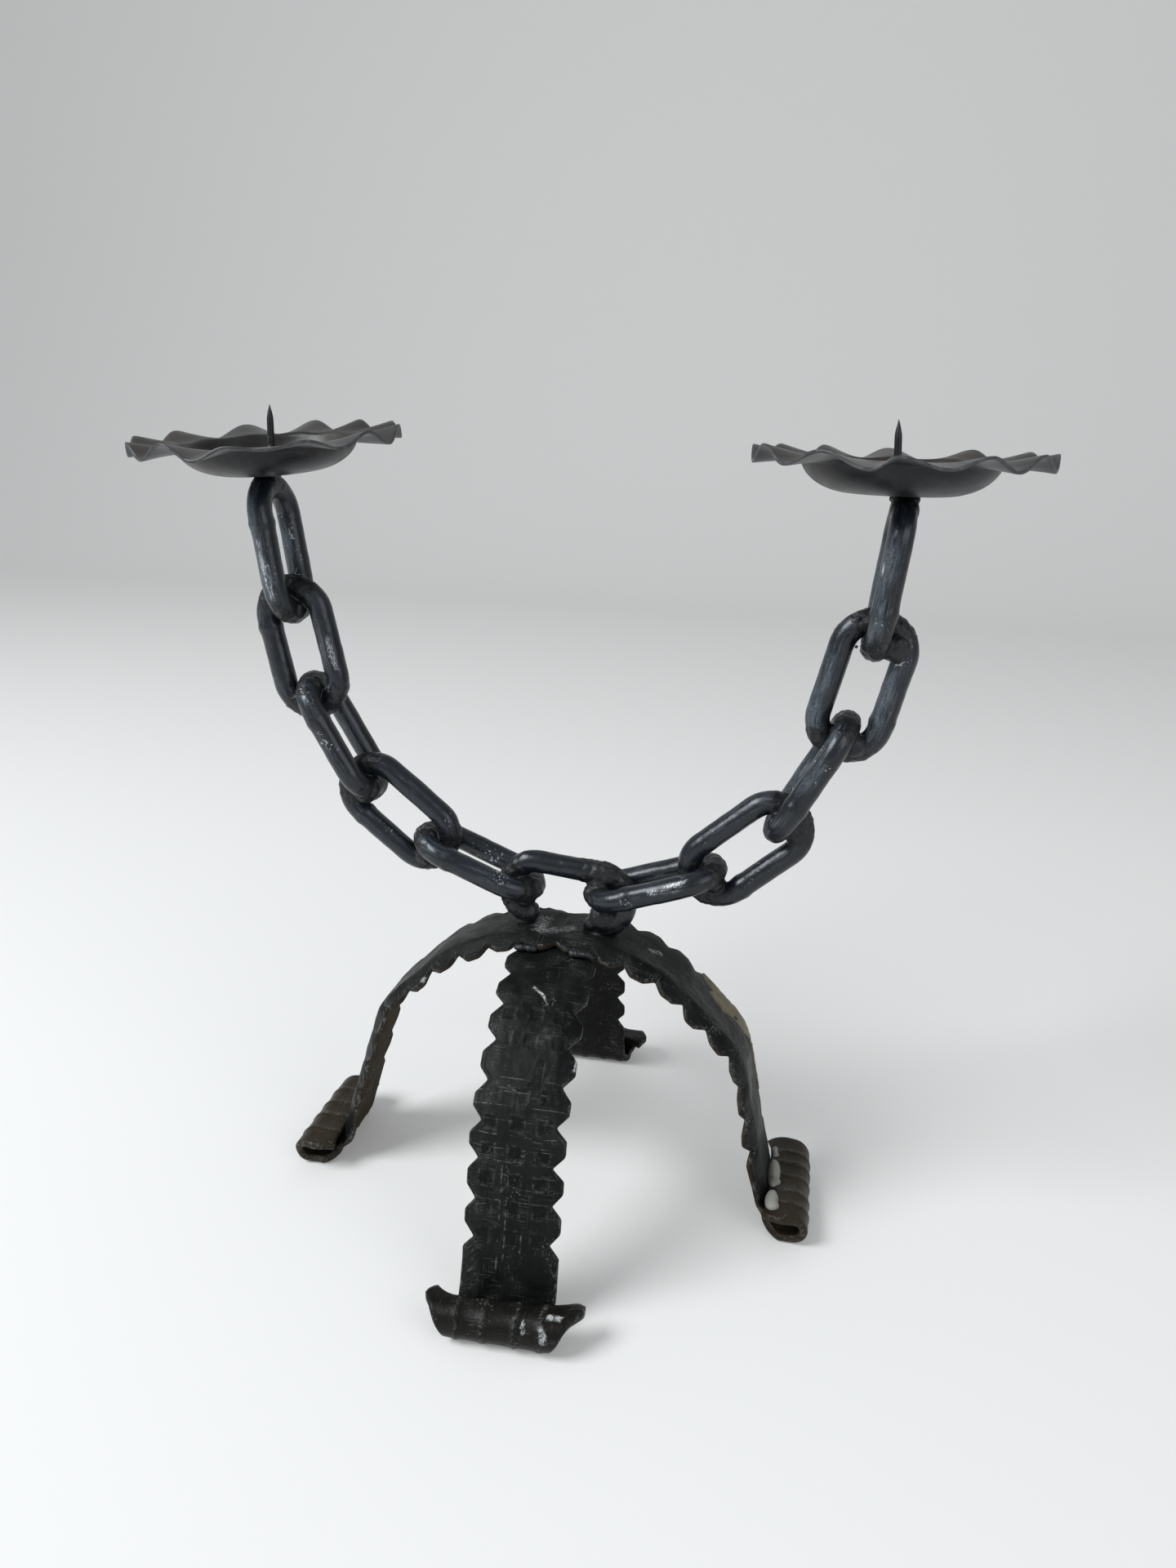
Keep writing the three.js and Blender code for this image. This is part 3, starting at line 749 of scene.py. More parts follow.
browned_feet = {"left": 0.9, "right": 0.85, "front": 0.15, "back": 0.3}
hatching_apart = 7.0  # by which a leg's number is spread, so that no two legs are scratched alike


def arc(radius, degrees):
    """A round stretch of a course, as (length, turn)."""
    return radius * abs(math.radians(degrees)), math.radians(degrees)


def length_of(course):
    return sum(length for length, _ in course)


def walk(course, start, distance):
    """Place and heading at a distance along a course."""
    x, z = start
    heading = 0.0
    for length, turn in course:
        step = min(distance, length)
        if turn == 0:
            x += step * math.cos(heading)
            z += step * math.sin(heading)
        else:
            radius = length / turn
            next_heading = heading + turn * step / length
            x += radius * (math.sin(next_heading) - math.sin(heading))
            z -= radius * (math.cos(next_heading) - math.cos(heading))
            heading = next_heading
        distance -= step
        if distance <= 0:
            break
    return x, z, heading


def half_bar(name, side, top):
    """A leg with its half of the crown. Its course runs at half thickness from the crown's middle
    out, as (length, turn) stretches, and its marks on the way are distances along it."""
    leg = legs[name]
    lean = shoulder_turn + leg["knee"]
    start = (0.0, top - bar_thickness / 2)
    down = [(leg["flat"], 0.0), arc(shoulder_radius, -shoulder_turn)]
    down += [(leg["slope"], 0.0), arc(knee_radius, -leg["knee"])]
    _, knee_height, _ = walk(down, start, length_of(down))
    roll_start = bar_thickness / 2 + roll_radius * (1 - math.cos(math.radians(lean)))
    down.append(((knee_height - roll_start) / math.sin(math.radians(lean)), 0.0))
    roll = [arc(roll_radius, lean), (foot_pad_length, 0.0), arc(roll_radius, 180)]
    roll += [(roll_lips[name], 0.0), arc(roll_lip_radius, roll_lip_turn)]
    leg_end = length_of(down)
    return {
        "name": name,
        "side": side,
        "seed": leg["seed"],
        "start": start,
        "course": down + roll,
        "leg end": leg_end,
        "pad start": leg_end + roll[0][0],
        "lip": length_of(down + roll),
    }


def bar_point(half, distance, across, level):
    """A spot on a half bar: along it, across it and above its middle layer."""
    x, z, heading = walk(half["course"], half["start"], distance)
    return Vector((half["side"] * (x - math.sin(heading) * level), across, z + math.cos(heading) * level))


def smooth_step(low, high, value):
    """From 0 at low to 1 at high, with a soft start and end."""
    share = max(0.0, min(1.0, (value - low) / (high - low)))
    return share * share * (3 - 2 * share)


def bell(value, width):
    """A hump that is 1 at 0 and almost flat past twice its width."""
    return math.exp(-((value / width) ** 2))


def notch_cut(distance, edge, seed):
    """How deep the edge is cut at a distance, from 0 on a lobe to about 1 in a notch's valley."""
    if distance > notch_pitch * notches_per_leg + notch_mouth / 2:
        return 0.0
    number = round(distance / notch_pitch)
    shift = notch_shift * noise.noise(Vector((number * 3.7, edge * 5.1, seed * 9.3)))
    depth = 1 + notch_unevenness * noise.noise(Vector((number * 2.3, edge * 7.7, seed * 4.1)))
    off = abs(distance - notch_pitch * number - (shift if number else 0))
    sharp = (1 - math.sqrt(off * off + notch_round) / (notch_mouth / 2)) / notch_blend
    return depth * notch_blend * (math.log1p(math.exp(sharp)) if sharp < 30 else sharp)


def half_width(half, distance, edge):
    """From the middle line to one edge: notched along the leg, flared and splayed at the foot."""
    if distance <= half["leg end"]:
        return bar_width / 2 - notch_depth * notch_cut(distance, edge, half["seed"])
    pad_end = half["pad start"] + foot_pad_length
    full = pad_end + math.pi * roll_radius + fishtail_start
    flared = min(1, (distance - half["leg end"]) / (half["pad start"] - half["leg end"]))
    flare = bar_width / 2 + (legs[half["name"]]["pad"] - bar_width) / 2 * flared
    wide = flare + (fishtail_width / 2 - flare) * max(0.0, min(1.0, (distance - pad_end) / (full - pad_end)))
    wide -= fishtail_taper * max(0.0, (distance - full) / (half["lip"] - full)) ** 2
    return wide + foot_edge_wobble * rough(Vector((distance, edge * 20, half["seed"] * 7)), 4.0)


def stamped(half, distance, across):
    """Depth of the stamped squares and height of the lines round them, in shares."""
    depth = line = 0.0
    if half["name"] != "front":
        return depth, line
    for row in [row for row in stamp_rows if abs(distance - row) <= stamp_reach]:
        for column in stamp_columns:
            skew = stamp_skew * noise.noise(Vector((row, column, 2.0)))
            off = max(abs(distance - row - skew), abs(across - column + skew)) - stamp_size / 2
            depth = max(depth, stamp_rows[row] * (1 - smooth_step(*stamp_wall, off)))
            line = max(line, stamp_rows[row] * bell(off - 0.3, 0.35))
    return depth, line


def fluted(half, distance, across):
    """Depth of the flutes pressed round a foot's roll, in shares."""
    fade = smooth_step(*flute_start, distance - half["leg end"])
    if fade == 0:
        return 0.0
    deepest = 0.0
    for i, line in enumerate(flute_lines[half["name"]]):
        off = across - line - 0.8 * noise.noise(Vector((distance / 6, line, 1.0)))
        deepest = max(deepest, bell(off, 0.7 + 0.3 * (i % 2)) + 0.35 * bell(off, 2.6))
    return deepest * fade


# Pale marks on the bars, as seen in the photograph: start, end, radius and strength
pale_strokes = strokes(
    ((-7.4, -6.0, 105.2), (-8.0, 3.0, 105.2), 5.4, 0.62),
    ((-5.0, -8.0, 105.1), (3.0, -3.0, 105.3), 4.6, 0.44),
    ((-5.5, -15.6, 104.0), (0.0, -15.9, 103.8), 0.7, 0.5),
    ((-2.5, -32.0, 95.3), (1.2, -34.4, 94.0), 0.9, 1.0),
    ((1.2, -34.4, 94.0), (3.2, -37.0, 92.4), 0.8, 0.9),
    ((16.6, -46.6, 83.2), (16.3, -51.6, 77.8), 1.25, 1.3),
    ((32.8, 0.6, 98.8), (35.6, 2.0, 97.4), 2.2, 0.62),
    ((18.0, -88.8, 12.4), (21.4, -88.4, 12.2), 1.9, 1.2),
    ((10.2, -91.5, 12.2), (10.8, -93.8, 9.6), 1.0, 0.9),
    ((16.6, -92.5, 11.2), (17.4, -94.2, 8.0), 1.9, 1.0),
    ((61.0, -14.5, 74.0), (62.5, -15.0, 71.0), 1.5, 0.9),
    ((-47.0, -15.0, 85.5), (-49.5, -15.0, 83.0), 1.4, 0.9),
    ((-66.0, -15.4, 64.0), (-67.5, -15.4, 61.0), 1.2, 0.6),
)
pale_reach = 12.0  # of a stroke from its start, at most


def pale_mark(point):
    """How much bare or scraped metal shows at a spot."""
    total = 0.0
    for start, end, radius, strength in pale_strokes:
        if (point - start).length < pale_reach:
            away = to_stroke(point, start, end) / radius + 0.35 * rough(point, 1.3, 8.0)
            total = max(total, strength * smooth_step(1.0, 0.2, away))
    return total


def edge_level(face, to_side, hammered):
    """Level of a face that is drawn thin and rounded at its edge. The upper one has a rim."""
    thinned = (bar_thickness - bar_edge_thickness) / 2 * hammered
    thinned *= smooth_step(bar_edge_reach, 0.0, to_side)
    thinned += bar_corner * smooth_step(bar_corner_reach, 0.0, to_side)
    if face == -1:
        return thinned - bar_thickness / 2
    rim = smooth_step(rim_width + rim_blend, rim_width - rim_blend, to_side)
    return bar_thickness / 2 - thinned - rim_step * hammered * rim


def edge_droop(name, distance, across, key):
    """How far a spot hangs down, because the lobes are hammered over."""
    hang = edge_droops[name][0 if across < 0 else 1]
    droop = crown_droop + (hang - crown_droop) * smooth_step(*crown_reach, distance)
    droop *= smooth_step(droop_reach, 0.0, bar_width / 2 - abs(across))
    return droop * (1 + droop_unevenness * rough(key, 9.0, 4.0))


def edge_wear(to_side, hammered, key):
    """How much paint is rubbed off at the edge and along the step of its rim."""
    worn = smooth_step(1.2, 0.1, to_side) * (0.35 + 0.9 * rough(key, 7.0, 2.0))
    worn += 0.5 * hammered * bell(to_side - rim_width, 0.3) * rough(key, 6.0, 6.0)
    return max(0.0, worn)


def lay_face(bm, layers, stations, face, place):
    """The upper (1) or lower (-1) face of a bar: a grid of squares laid over its stations, which
    are (half bar, distance). Layers take what the material needs to know at each vertex."""
    made = bmesh.ops.create_grid(bm, x_segments=len(stations) - 1, y_segments=across_steps, size=1)
    for column, (half, distance) in enumerate(stations):
        name, side, seed = half["name"], half["side"], half["seed"]
        widths = {edge: half_width(half, distance, edge) for edge in (-1, 1)}
        hammered = 1 - smooth_step(*hammer_end, distance - half["leg end"])
        at_foot = smooth_step(*foot_start, distance - half["leg end"])
        tail = smooth_step(half["lip"] - fishtail_reach, half["lip"], distance)
        for vertex in made["verts"][column :: len(stations)]:
            share = vertex.co.y
            wide = widths[1 if share > 0 else -1]
            to_side = wide * (1 - abs(share))
            across = share * wide
            seen = -across if name in ("front", "back") else across  # to the right of who faces the foot
            back = fishtail_depths[name] * (1 - share**6) * tail
            if name == "front":
                back -= front_tail_skew * seen / (fishtail_width / 2) * tail
                across *= 1 + (front_horn / (fishtail_width / 2) * tail * share**4 if seen > 0 else 0)
            key = Vector((side * distance, across, seed * 50))
            pit_and_painted_shade, line = stamped(half, distance, seen) if face == 1 else (0.0, 0.0)
            flute = fluted(half, distance, seen)
            level = edge_level(face, to_side, hammered)
            level -= hammered * edge_droop(name, distance, across, key)
            level += waves(key, bar_dents) * (1 - at_foot) * (1 if face == 1 else lower_dents)
            level += stamp_line * line - stamp_depth * pit_and_painted_shade
            level += flute_depth * at_foot * (1 - min(1.0, flute))
            spot = place @ bar_point(half, distance - back, across, level)
            marks = {
                "edge": edge_wear(to_side, hammered, key) + at_foot * max(0.0, flute - 0.75),
                "stamp": line,
                # Painted shade: the stamped squares darken with their depth, and the back leg's whole lower
                # face is darkened.
                "pit_and_painted_shade": max(pit_and_painted_shade, float(name == "back" and face == -1)),
                "inner": (1 - at_foot) * (face == -1 and name in ("left", "right")),
                "foot": at_foot,
                "brown": at_foot * browned_feet[name],
                "pale": pale_mark(spot),
                "spot": (distance, seen, seed * hatching_apart),
            }
            for label, value in marks.items():
                vertex[layers[label]] = value
            vertex.co = spot


def scratch_group():
    """Fine crossing scratches: three stretched noises, thinned to hairs."""
    group, place, given = new_group("scratches", {"Amount": 0.5}, "Mask")
    total = None
    for turn, stretch in ((0.5, 26.0), (-0.9, 30.0), (1.9, 22.0)):
        inputs = {"Vector": place, "Rotation": (turn, turn * 0.7, turn)}
        inputs["Scale"] = (60.0, 60.0 * stretch, 60.0)
        mapped = add_node(group, "Mapping", inputs).outputs["Vector"]
        hair = noise_value(group, mapped, 1.0, detail=1.0, roughness=0.4)
        thin = minus(group, 1.0, ramp(group, apart(group, hair, 0.5), 0.0, 0.012))
        total = thin if total is None else larger(group, total, thin)
    spots = ramp(group, noise_value(group, place, 110.0, detail=3.0), 0.52, 0.7)
    return close_group(group, times(group, times(group, total, spots), given["Amount"]))


def hatching_group():
    """Hair lines left by brush and file, across the bar and along it, where dust caught in them."""
    group, place, given = new_group("hatching", {"Across": 1.0, "Along": 1.0}, "Mask")
    spot = add_node(group, "Attribute", attribute_name="spot").outputs["Vector"]
    total = None
    for label, scale in (("Across", (3.4, 0.13, 1.0)), ("Along", (0.09, 3.0, 1.0))):
        mapped = add_node(group, "Mapping", {"Vector": spot, "Scale": scale}).outputs["Vector"]
        hair = flecks(group, mapped, 1.0, 0.58, 0.70, detail=3.0, roughness=0.6)
        hair = times(group, hair, given[label])
        total = hair if total is None else larger(group, total, hair)
    where = flecks(group, place, 85.0, 0.44, 0.70, roughness=0.6)
    return close_group(group, times(group, total, where))


scribed_along = ((-4.0, 90.0, 128.0), (-1.9, 94.0, 124.0), (3.6, 110.0, 124.0))  # across, from, to


def scribing_group():
    """Thin broken lines scribed across the stamped leg, and three along it."""
    group, place, given = new_group("scribing", {"Pitch": 4.3}, "Mask")
    spot = add_node(group, "Attribute", attribute_name="spot").outputs["Vector"]
    down, across, leg = add_node(group, "SeparateXYZ", {"Vector": spot}).outputs
    turns = math_node(group, "DIVIDE", minus(group, down, 66.35), given["Pitch"])
    off = apart(group, math_node(group, "FRACT", turns), 0.5)
    wave = times(group, noise_value(group, place, 160.0, detail=2.0), 0.10)
    line = ramp(group, plus(group, off, wave), 0.105, 0.055)
    line = times(group, line, ramp(group, down, 58.0, 68.0))
    line = times(group, line, ramp(group, down, 112.0, 100.0))
    for place_across, low, high in scribed_along:
        part = ramp(group, apart(group, across, place_across), 0.34, 0.14)
        part = times(group, part, ramp(group, down, low, low + 4))
        line = larger(group, line, times(group, part, ramp(group, down, high, high - 4)))
    front_leg = legs["front"]["seed"] * hatching_apart
    stamped_leg = ramp(group, apart(group, leg, front_leg), 1.0, 0.5)
    broken = flecks(group, place, 230.0, 0.44, 0.60)
    return close_group(group, times(group, line, times(group, broken, stamped_leg)))


scratches = scratch_group()
hatching = hatching_group()
scribing = scribing_group()


def bar_material():
    """Blackened flat iron: dusty and scratched above, brown where the paint is thin."""
    material, tree, shader = new_material("bar_iron")
    black, grey, brown = (0.0030, 0.0033, 0.0031), (0.0094, 0.0102, 0.0093), (0.0250, 0.0178, 0.0095)
    rusty, painted_shade_black, dusty = (0.040, 0.028, 0.014), (0.0018, 0.0018, 0.0018), (0.22, 0.23, 0.22)
    place = add_node(tree, "TexCoord").outputs["Object"]
    inner, foot = attribute(tree, "inner"), attribute(tree, "foot")
    dust = use_group(tree, patches, Scale=55.0, Cover=0.66)
    rust = use_group(tree, patches, Scale=38.0, Cover=0.9)
    browned = larger(tree, times(tree, inner, 0.75), attribute(tree, "brown"))
    browned = times(tree, browned, plus(tree, 0.35, times(tree, rust, 0.65)))
    tone = mix_colours(tree, times(tree, dust, 0.7), black, grey)
    tone = mix_colours(tree, browned, tone, brown)
    tone = mix_colours(tree, times(tree, inner, 0.7), tone, rusty)
    # Painted shade, near black, in the stamped squares and over the back leg's lower face.
    tone = mix_colours(tree, times(tree, attribute(tree, "pit_and_painted_shade"), 0.85), tone, painted_shade_black)

    broken = flecks(tree, place, 700.0, 0.45, 0.68)
    pale = times(tree, use_group(tree, speckle, Scale=1400.0, Cover=0.34), 0.30)
    for source, weight in (
        (use_group(tree, scratches, Amount=0.8), 0.45),
        (use_group(tree, hatching, Across=1.0, Along=0.8), 0.46),
        (use_group(tree, scribing, Pitch=4.3), 0.42),
        (times(tree, attribute(tree, "edge"), broken), 0.75),
        (times(tree, attribute(tree, "stamp"), broken), 0.30),
    ):
        pale = larger(tree, pale, times(tree, source, weight))
    tone = mix_colours(tree, pale, tone, dusty)
    torn = flecks(tree, place, 1100.0, 0.36, 0.62)
    marked = times(tree, attribute(tree, "pale"), plus(tree, 0.25, times(tree, torn, 0.75)))
    tone = mix_colours(tree, ramp(tree, marked, 0.10, 1.0), tone, (0.50, 0.52, 0.52))  # bare iron

    roughness = mix_values(tree, dust, 0.38, 0.56)
    roughness = mix_values(tree, inner, roughness, 0.85)
    roughness = mix_values(tree, foot, roughness, 0.38)
    skin = use_group(tree, grain, Dents=0.7, Scale_skin=1.2, Grit=1.6)
    finish(tree, shader, tone, roughness, skin, 0.0007, 0.6, metallic=0.05, specular=0.15)
    return material


bar_iron = bar_material()
bar_marks = ("edge", "stamp", "pit_and_painted_shade", "inner", "foot", "brown", "pale")


def build_bar(name, halves, place):
    """A bar from lip to lip: its two faces are laid and then joined round their edges."""
    stations = []
    for half in halves:
        steps = range(int(half["lip"] / station_step))
        outward = [(half, step * station_step) for step in steps] + [(half, half["lip"])]
        stations = outward[::-1] if half is halves[0] else stations + outward[1:]
    bm = bmesh.new()
    layers = {label: bm.verts.layers.float.new(label) for label in bar_marks}
    layers["spot"] = bm.verts.layers.float_vector.new("spot")
    for face in (1, -1):
        lay_face(bm, layers, stations, face, place)
    bmesh.ops.bridge_loops(bm, edges=[edge for edge in bm.edges if edge.is_boundary])
    put_in_frame("iron_" + name, bm, bar_iron, [name])


right_half = half_bar("right", 1, base_height)
upper_halves = (half_bar("left", -1, base_height), right_half)
lower_halves = (half_bar("front", -1, lower_bar_height), half_bar("back", 1, lower_bar_height))
lower_place = Matrix.Translation((lower_bar_shift, 0, 0)) @ Matrix.Rotation(crossing_turn, 4, "Z")
build_bar("base_bar_upper", upper_halves, Matrix.Identity(4))
build_bar("base_bar_lower", lower_halves, lower_place)


# Drip pans and spikes: pans of 1 mm sheet iron, each a round bowl with a flange beaten into
# irregular waves. A pointed pin stands through each, and a collar of weld holds both on the
# last link of an arm.

pan_radius = 45.0
pan_reach = pan_radius - 0.05  # of the wavy rim, at most
pan_thickness = 1.0
pan_hole = 1.5
pan_floor = 14.0
pan_bowl = 30.0
pan_depth = 9.4
pan_steepness = math.radians(78)
pan_rise = 0.9
pan_waves = 12
pan_wave_height = 4.8
pan_wave_start = pan_bowl - 1.5  # of the waves
pan_wave_growth = 1.15
pan_wave_unevenness = 0.25
pan_spread = 0.010  # of the flange, more in some places
pan_dent = 0.25
pan_rim = (43.6, 44.9)  # across which the flange turns into the rubbed rim
pan_lip = ((-0.1, 0.08), (0.1, 0.5), (-0.1, 0.92))  # round the edge of the rim, out and up
pan_gap = 0.3  # between the floor and the link below it
pan_floor_steps = 8
pan_steps = 16  # up the bowl and across the flange
rim_steps = pan_waves * 24
# Crests and valleys of the rims that are not even ones, as seen in the photograph. Number, from
# a crest at 0 degrees on in steps of 15: (shift in degrees, height)
pan_beats = {
    "left": {
        4: (-3, 2.4),
        5: (-5, -2.2),
        6: (-8, 2.4),
        7: (-6.5, -2.0),
        8: (-5, 2.2),
        9: (-3, -2.2),
        18: (0, 1.2),
        19: (0, -0.2),
        20: (0, 1.6),
        21: (0, -1.6),
    },
    "right": {
        5: (3, -2.2),
        6: (6, 2.2),
        7: (5, -2.0),
        8: (5, 2.4),
        16: (2, 1.6),
        17: (6, -2.9),
        18: (0, 0.8),
        19: (2.6, -2.1),
        20: (3, 1.4),
    },
}
pans = {
    "left": {"out": 3.2, "forward": 6.0, "turn": 12.0, "inset": 2.0, "sign": -1, "spike": 0.7},
    "right": {"out": 0.3, "forward": 0.8, "turn": -4.0, "inset": 2.8, "sign": 1, "spike": -4.4},
}
last_links = {"left": left_arm[-1], "right": right_arm[-1]}


def pan_seat(side_name):
    """Place of a pan's floor on the last link of its arm."""
    pan, (centre, angle, _, _) = pans[side_name], last_links[side_name]
    lean = Matrix.Rotation(math.radians(pan["forward"]), 4, "X")
    lean = lean @ Matrix.Rotation(pan["sign"] * math.radians(pan["out"]), 4, "Y")
    bend = along(angle) * pan["sign"] * end_wire
    lift = lean @ Vector((-pan["sign"] * pan["inset"], 0, wire_radius + pan_gap))
    return Matrix.Translation(centre + bend + lift) @ lean


def pan_outline():
    """Section of a pan, from the hole out below and back above, as (radius, height, above)."""
    floor_step = (pan_floor - pan_hole) / pan_floor_steps
    under = [(pan_hole + floor_step * i, 0.0) for i in range(pan_floor_steps + 1)]
    for i in range(1, pan_steps + 1):
        t = pan_steepness * i / pan_steps
        reach = math.sin(t) / math.sin(pan_steepness)
        climb = (1 - math.cos(t)) / (1 - math.cos(pan_steepness))
        under.append((pan_floor + (pan_bowl - pan_floor) * reach, pan_depth * climb))
    for i in range(1, pan_steps + 1):
        t = i / pan_steps
        under.append((pan_bowl + (pan_radius - pan_bowl) * t, pan_depth + pan_rise * t))
    above = []
    for i, (radius, height) in enumerate(under[:-1]):
        before, after = under[max(i - 1, 0)], under[i + 1]
        course = Vector((after[0] - before[0], after[1] - before[1])).normalized() * pan_thickness
        above.append((radius - course.y, height + course.x))
    rim, brim = under[-1]
    edge = [(rim + out, brim + rise) for out, rise in pan_lip]
    outline = [(*spot, 0.0) for spot in under[:-1] + edge[:2]]
    return outline + [(*spot, 1.0) for spot in edge[2:] + above[::-1]]


def rim_heights(side_name, seed):
    """Height of the beaten rim at every step round a pan."""
    beats = []
    for i in range(2 * pan_waves):
        uneven = 1 + pan_wave_unevenness * noise.noise(Vector((i * 1.7, seed, 3.0)))
        usual = pan_wave_height / 2 * uneven
        shift, height = pan_beats[side_name].get(i, (0, usual if i % 2 == 0 else -usual))
        beats.append((360 / (2 * pan_waves) * i + shift, height))
    beats.append((360 + beats[0][0], beats[0][1]))
    heights = []
    for step in range(rim_steps):
        angle = 360 * step / rim_steps
        before = max(i for i in range(len(beats) - 1) if beats[i][0] <= angle)
        (start, low), (end, high) = beats[before], beats[before + 1]
        share = (1 - math.cos(math.pi * (angle - start) / (end - start))) / 2
        heights.append(low + (high - low) * share)
    return heights


def pan_material():
    """Dark sheet iron under thin paint, with a brown cast inside and a flange made paler as a painted
    reflection.
    """
    material, tree, shader = new_material("pan_sheet")
    black, grey, brown = (0.0060, 0.0068, 0.0086), (0.034, 0.036, 0.040), (0.030, 0.021, 0.014)
    flange_painted_reflection, film_brown, dusty = (0.070, 0.073, 0.079), (0.034, 0.028, 0.019), (0.19, 0.19, 0.19)
    place = add_node(tree, "TexCoord").outputs["Object"]
    fog = use_group(tree, patches, Scale=34.0, Cover=0.58)
    stain = use_group(tree, patches, Scale=24.0, Cover=0.52)
    tone = mix_colours(tree, times(tree, fog, 0.7), black, grey)
    tone = mix_colours(tree, times(tree, stain, 0.5), tone, brown)
    # Painted reflection: the flange is made paler, as if it caught the light of its bright surroundings.
    tone = mix_colours(tree, times(tree, attribute(tree, "flange"), 0.60), tone, flange_painted_reflection)
    filmed = times(tree, attribute(tree, "inside"), plus(tree, 0.30, times(tree, stain, 0.45)))
    tone = mix_colours(tree, filmed, tone, film_brown)
    broken = flecks(tree, place, 500.0, 0.40, 0.65)
    pale = times(tree, times(tree, attribute(tree, "rim"), broken), 0.28)
    pale = larger(tree, pale, times(tree, use_group(tree, speckle, Scale=1200.0, Cover=0.28), 0.22))
    pale = larger(tree, pale, times(tree, use_group(tree, scratches, Amount=0.35), 0.4))
    tone = mix_colours(tree, pale, tone, dusty)
    roughness = mix_values(tree, fog, 0.34, 0.48)
    skin = use_group(tree, grain, Dents=0.5, Scale_skin=0.5, Grit=0.8)
    finish(tree, shader, tone, roughness, skin, 0.0006, 0.45, metallic=0.1, specular=0.32)
    return material


pan_sheet = pan_material()


def spin_round(bm, line, steps):
    """Spins a line of vertices, with the edges between them, round the upright axis."""
    edges = [bm.edges.new(pair) for pair in zip(line, line[1:])]
    bmesh.ops.spin(
        bm,
        geom=line + edges,
        axis=(0, 0, 1),
        cent=(0, 0, 0),
        angle=2 * math.pi,
        steps=steps,
        use_merge=True,
    )


def build_pan(side_name, seed):
    """A pan: its section is spun round, and its rim is beaten into waves."""
    place = pan_seat(side_name) @ Matrix.Rotation(math.radians(pans[side_name]["turn"]), 4, "Z")
    bm = bmesh.new()
    flange, inside, rim = [bm.verts.layers.float.new(label) for label in ("flange", "inside", "rim")]
    line = []
    outline = pan_outline()
    for radius, height, above in outline + outline[:1]:
        vertex = bm.verts.new((radius, 0, height))
        vertex[flange] = max(0.0, (radius - pan_wave_start) / (pan_radius - pan_wave_start))
        vertex[inside] = above
        vertex[rim] = smooth_step(*pan_rim, radius)
        line.append(vertex)
    spin_round(bm, line, rim_steps)
    heights = rim_heights(side_name, seed)
    for vertex in bm.verts:
        x, y, height = vertex.co
        radius = math.hypot(x, y)
        step = round(math.atan2(y, x) / (2 * math.pi) * rim_steps)
        angle = 2 * math.pi * step / rim_steps
        outward = Vector((math.cos(angle), math.sin(angle), 0))
        spread = 1 + pan_spread * vertex[flange] * noise.noise(3 * outward + Vector((0, 0, seed + 4)))
        spot = outward * min(radius * spread, pan_reach)
        dent = pan_dent * rough(spot, 11.0, seed) * smooth_step(pan_floor, pan_bowl, radius)
        spot.z = height + heights[step % rim_steps] * vertex[flange] ** pan_wave_growth + dent
        vertex.co = place @ spot
    close_skin(bm)
    name = "drip_pan_" + side_name
    put_in_frame("sheet_" + name, bm, pan_sheet, [name])


spike_radius = 1.2
spike_sides = 20
spike_body = (0, 2, 5, 8, 11, 14, 16.4)  # heights, over which it thins a little
spike_thinning = 0.06 / 17  # per millimetre
spike_unevenness = 0.02
spike_tip = ((17.4, 0.90), (18.4, 0.79), (19.5, 0.60), (20.6, 0.36), (21.4, 0.18), (21.9, 0.05))


def build_spike(side_name, seed):
    """A spike: spun from its outline, roughened a little and leaned."""
    lean = Matrix.Rotation(math.radians(pans[side_name]["spike"]), 4, "Y")
    place = Matrix.Translation(pan_seat(side_name).to_translation()) @ lean
    outline = [(height, 1 - spike_thinning * height) for height in spike_body] + list(spike_tip)
    bm = bmesh.new()
    line = [bm.verts.new((spike_radius * share, 0, height)) for height, share in outline]
    spin_round(bm, line, spike_sides)
    for vertex in bm.verts:
        swell = spike_unevenness * noise.noise(vertex.co + Vector((seed, 0, 0)))
        vertex.co = place @ (vertex.co * (1 + swell))
    close_skin(bm)
    name = "spike_" + side_name
    # The spike's silver rub also paints highlights, as on the chain.
    put_in_frame("pin_" + name, bm, weld_paint, [name], {"rub_and_highlight": rubbed_and_highlit})


collar_cover_depth = 1.5  # all three below the pan's floor
collar_ring_depth = 1.2
collar_core_depth = 2.2
collar_reach = 5.0  # along the wire
collar_oval = (3.5, 4.1)
collar_drop_radius = 1.15
collar_core_radius = 4.2
ring_drops = 12


def oval(half_x, half_y):
    """Places of the drops of a ring of weld, from its middle."""
    turns = [2 * math.pi * i / ring_drops for i in range(ring_drops)]
    return [Vector((half_x * math.cos(turn), half_y * math.sin(turn), 0)) for turn in turns]


def build_pan_weld(side_name, seed):
    """Collar of weld between a last link, its pan and its spike."""
    seat, pan = pan_seat(side_name), pans[side_name]
    middle = Vector((pan["sign"] * pan["inset"], 0, 0))
    bm = bmesh.new()
    touch = seat @ (middle - Vector((0, 0, collar_cover_depth)))
    wire_near(bm, last_links[side_name], touch, collar_reach, seed)
    for offset in oval(*collar_oval):
        spot = middle - Vector((0, 0, collar_ring_depth)) + offset
        lump(bm, seat @ spot, collar_drop_radius + 0.4 * rough(spot, 3, seed))
    core = seat @ (middle - Vector((0, 0, collar_core_depth)))
    lump(bm, core, collar_core_radius, (1, 1.05, 0.5), detail=3)
    put_weld("weld_pan_" + side_name, fused(bm, voxel=0.4, passes=4, ripple=0.2, seed=seed))


for order, side_name in enumerate(("left", "right")):
    build_pan(side_name, order + 1.0)
    build_spike(side_name, order + 1.0)
    build_pan_weld(side_name, order + 31)


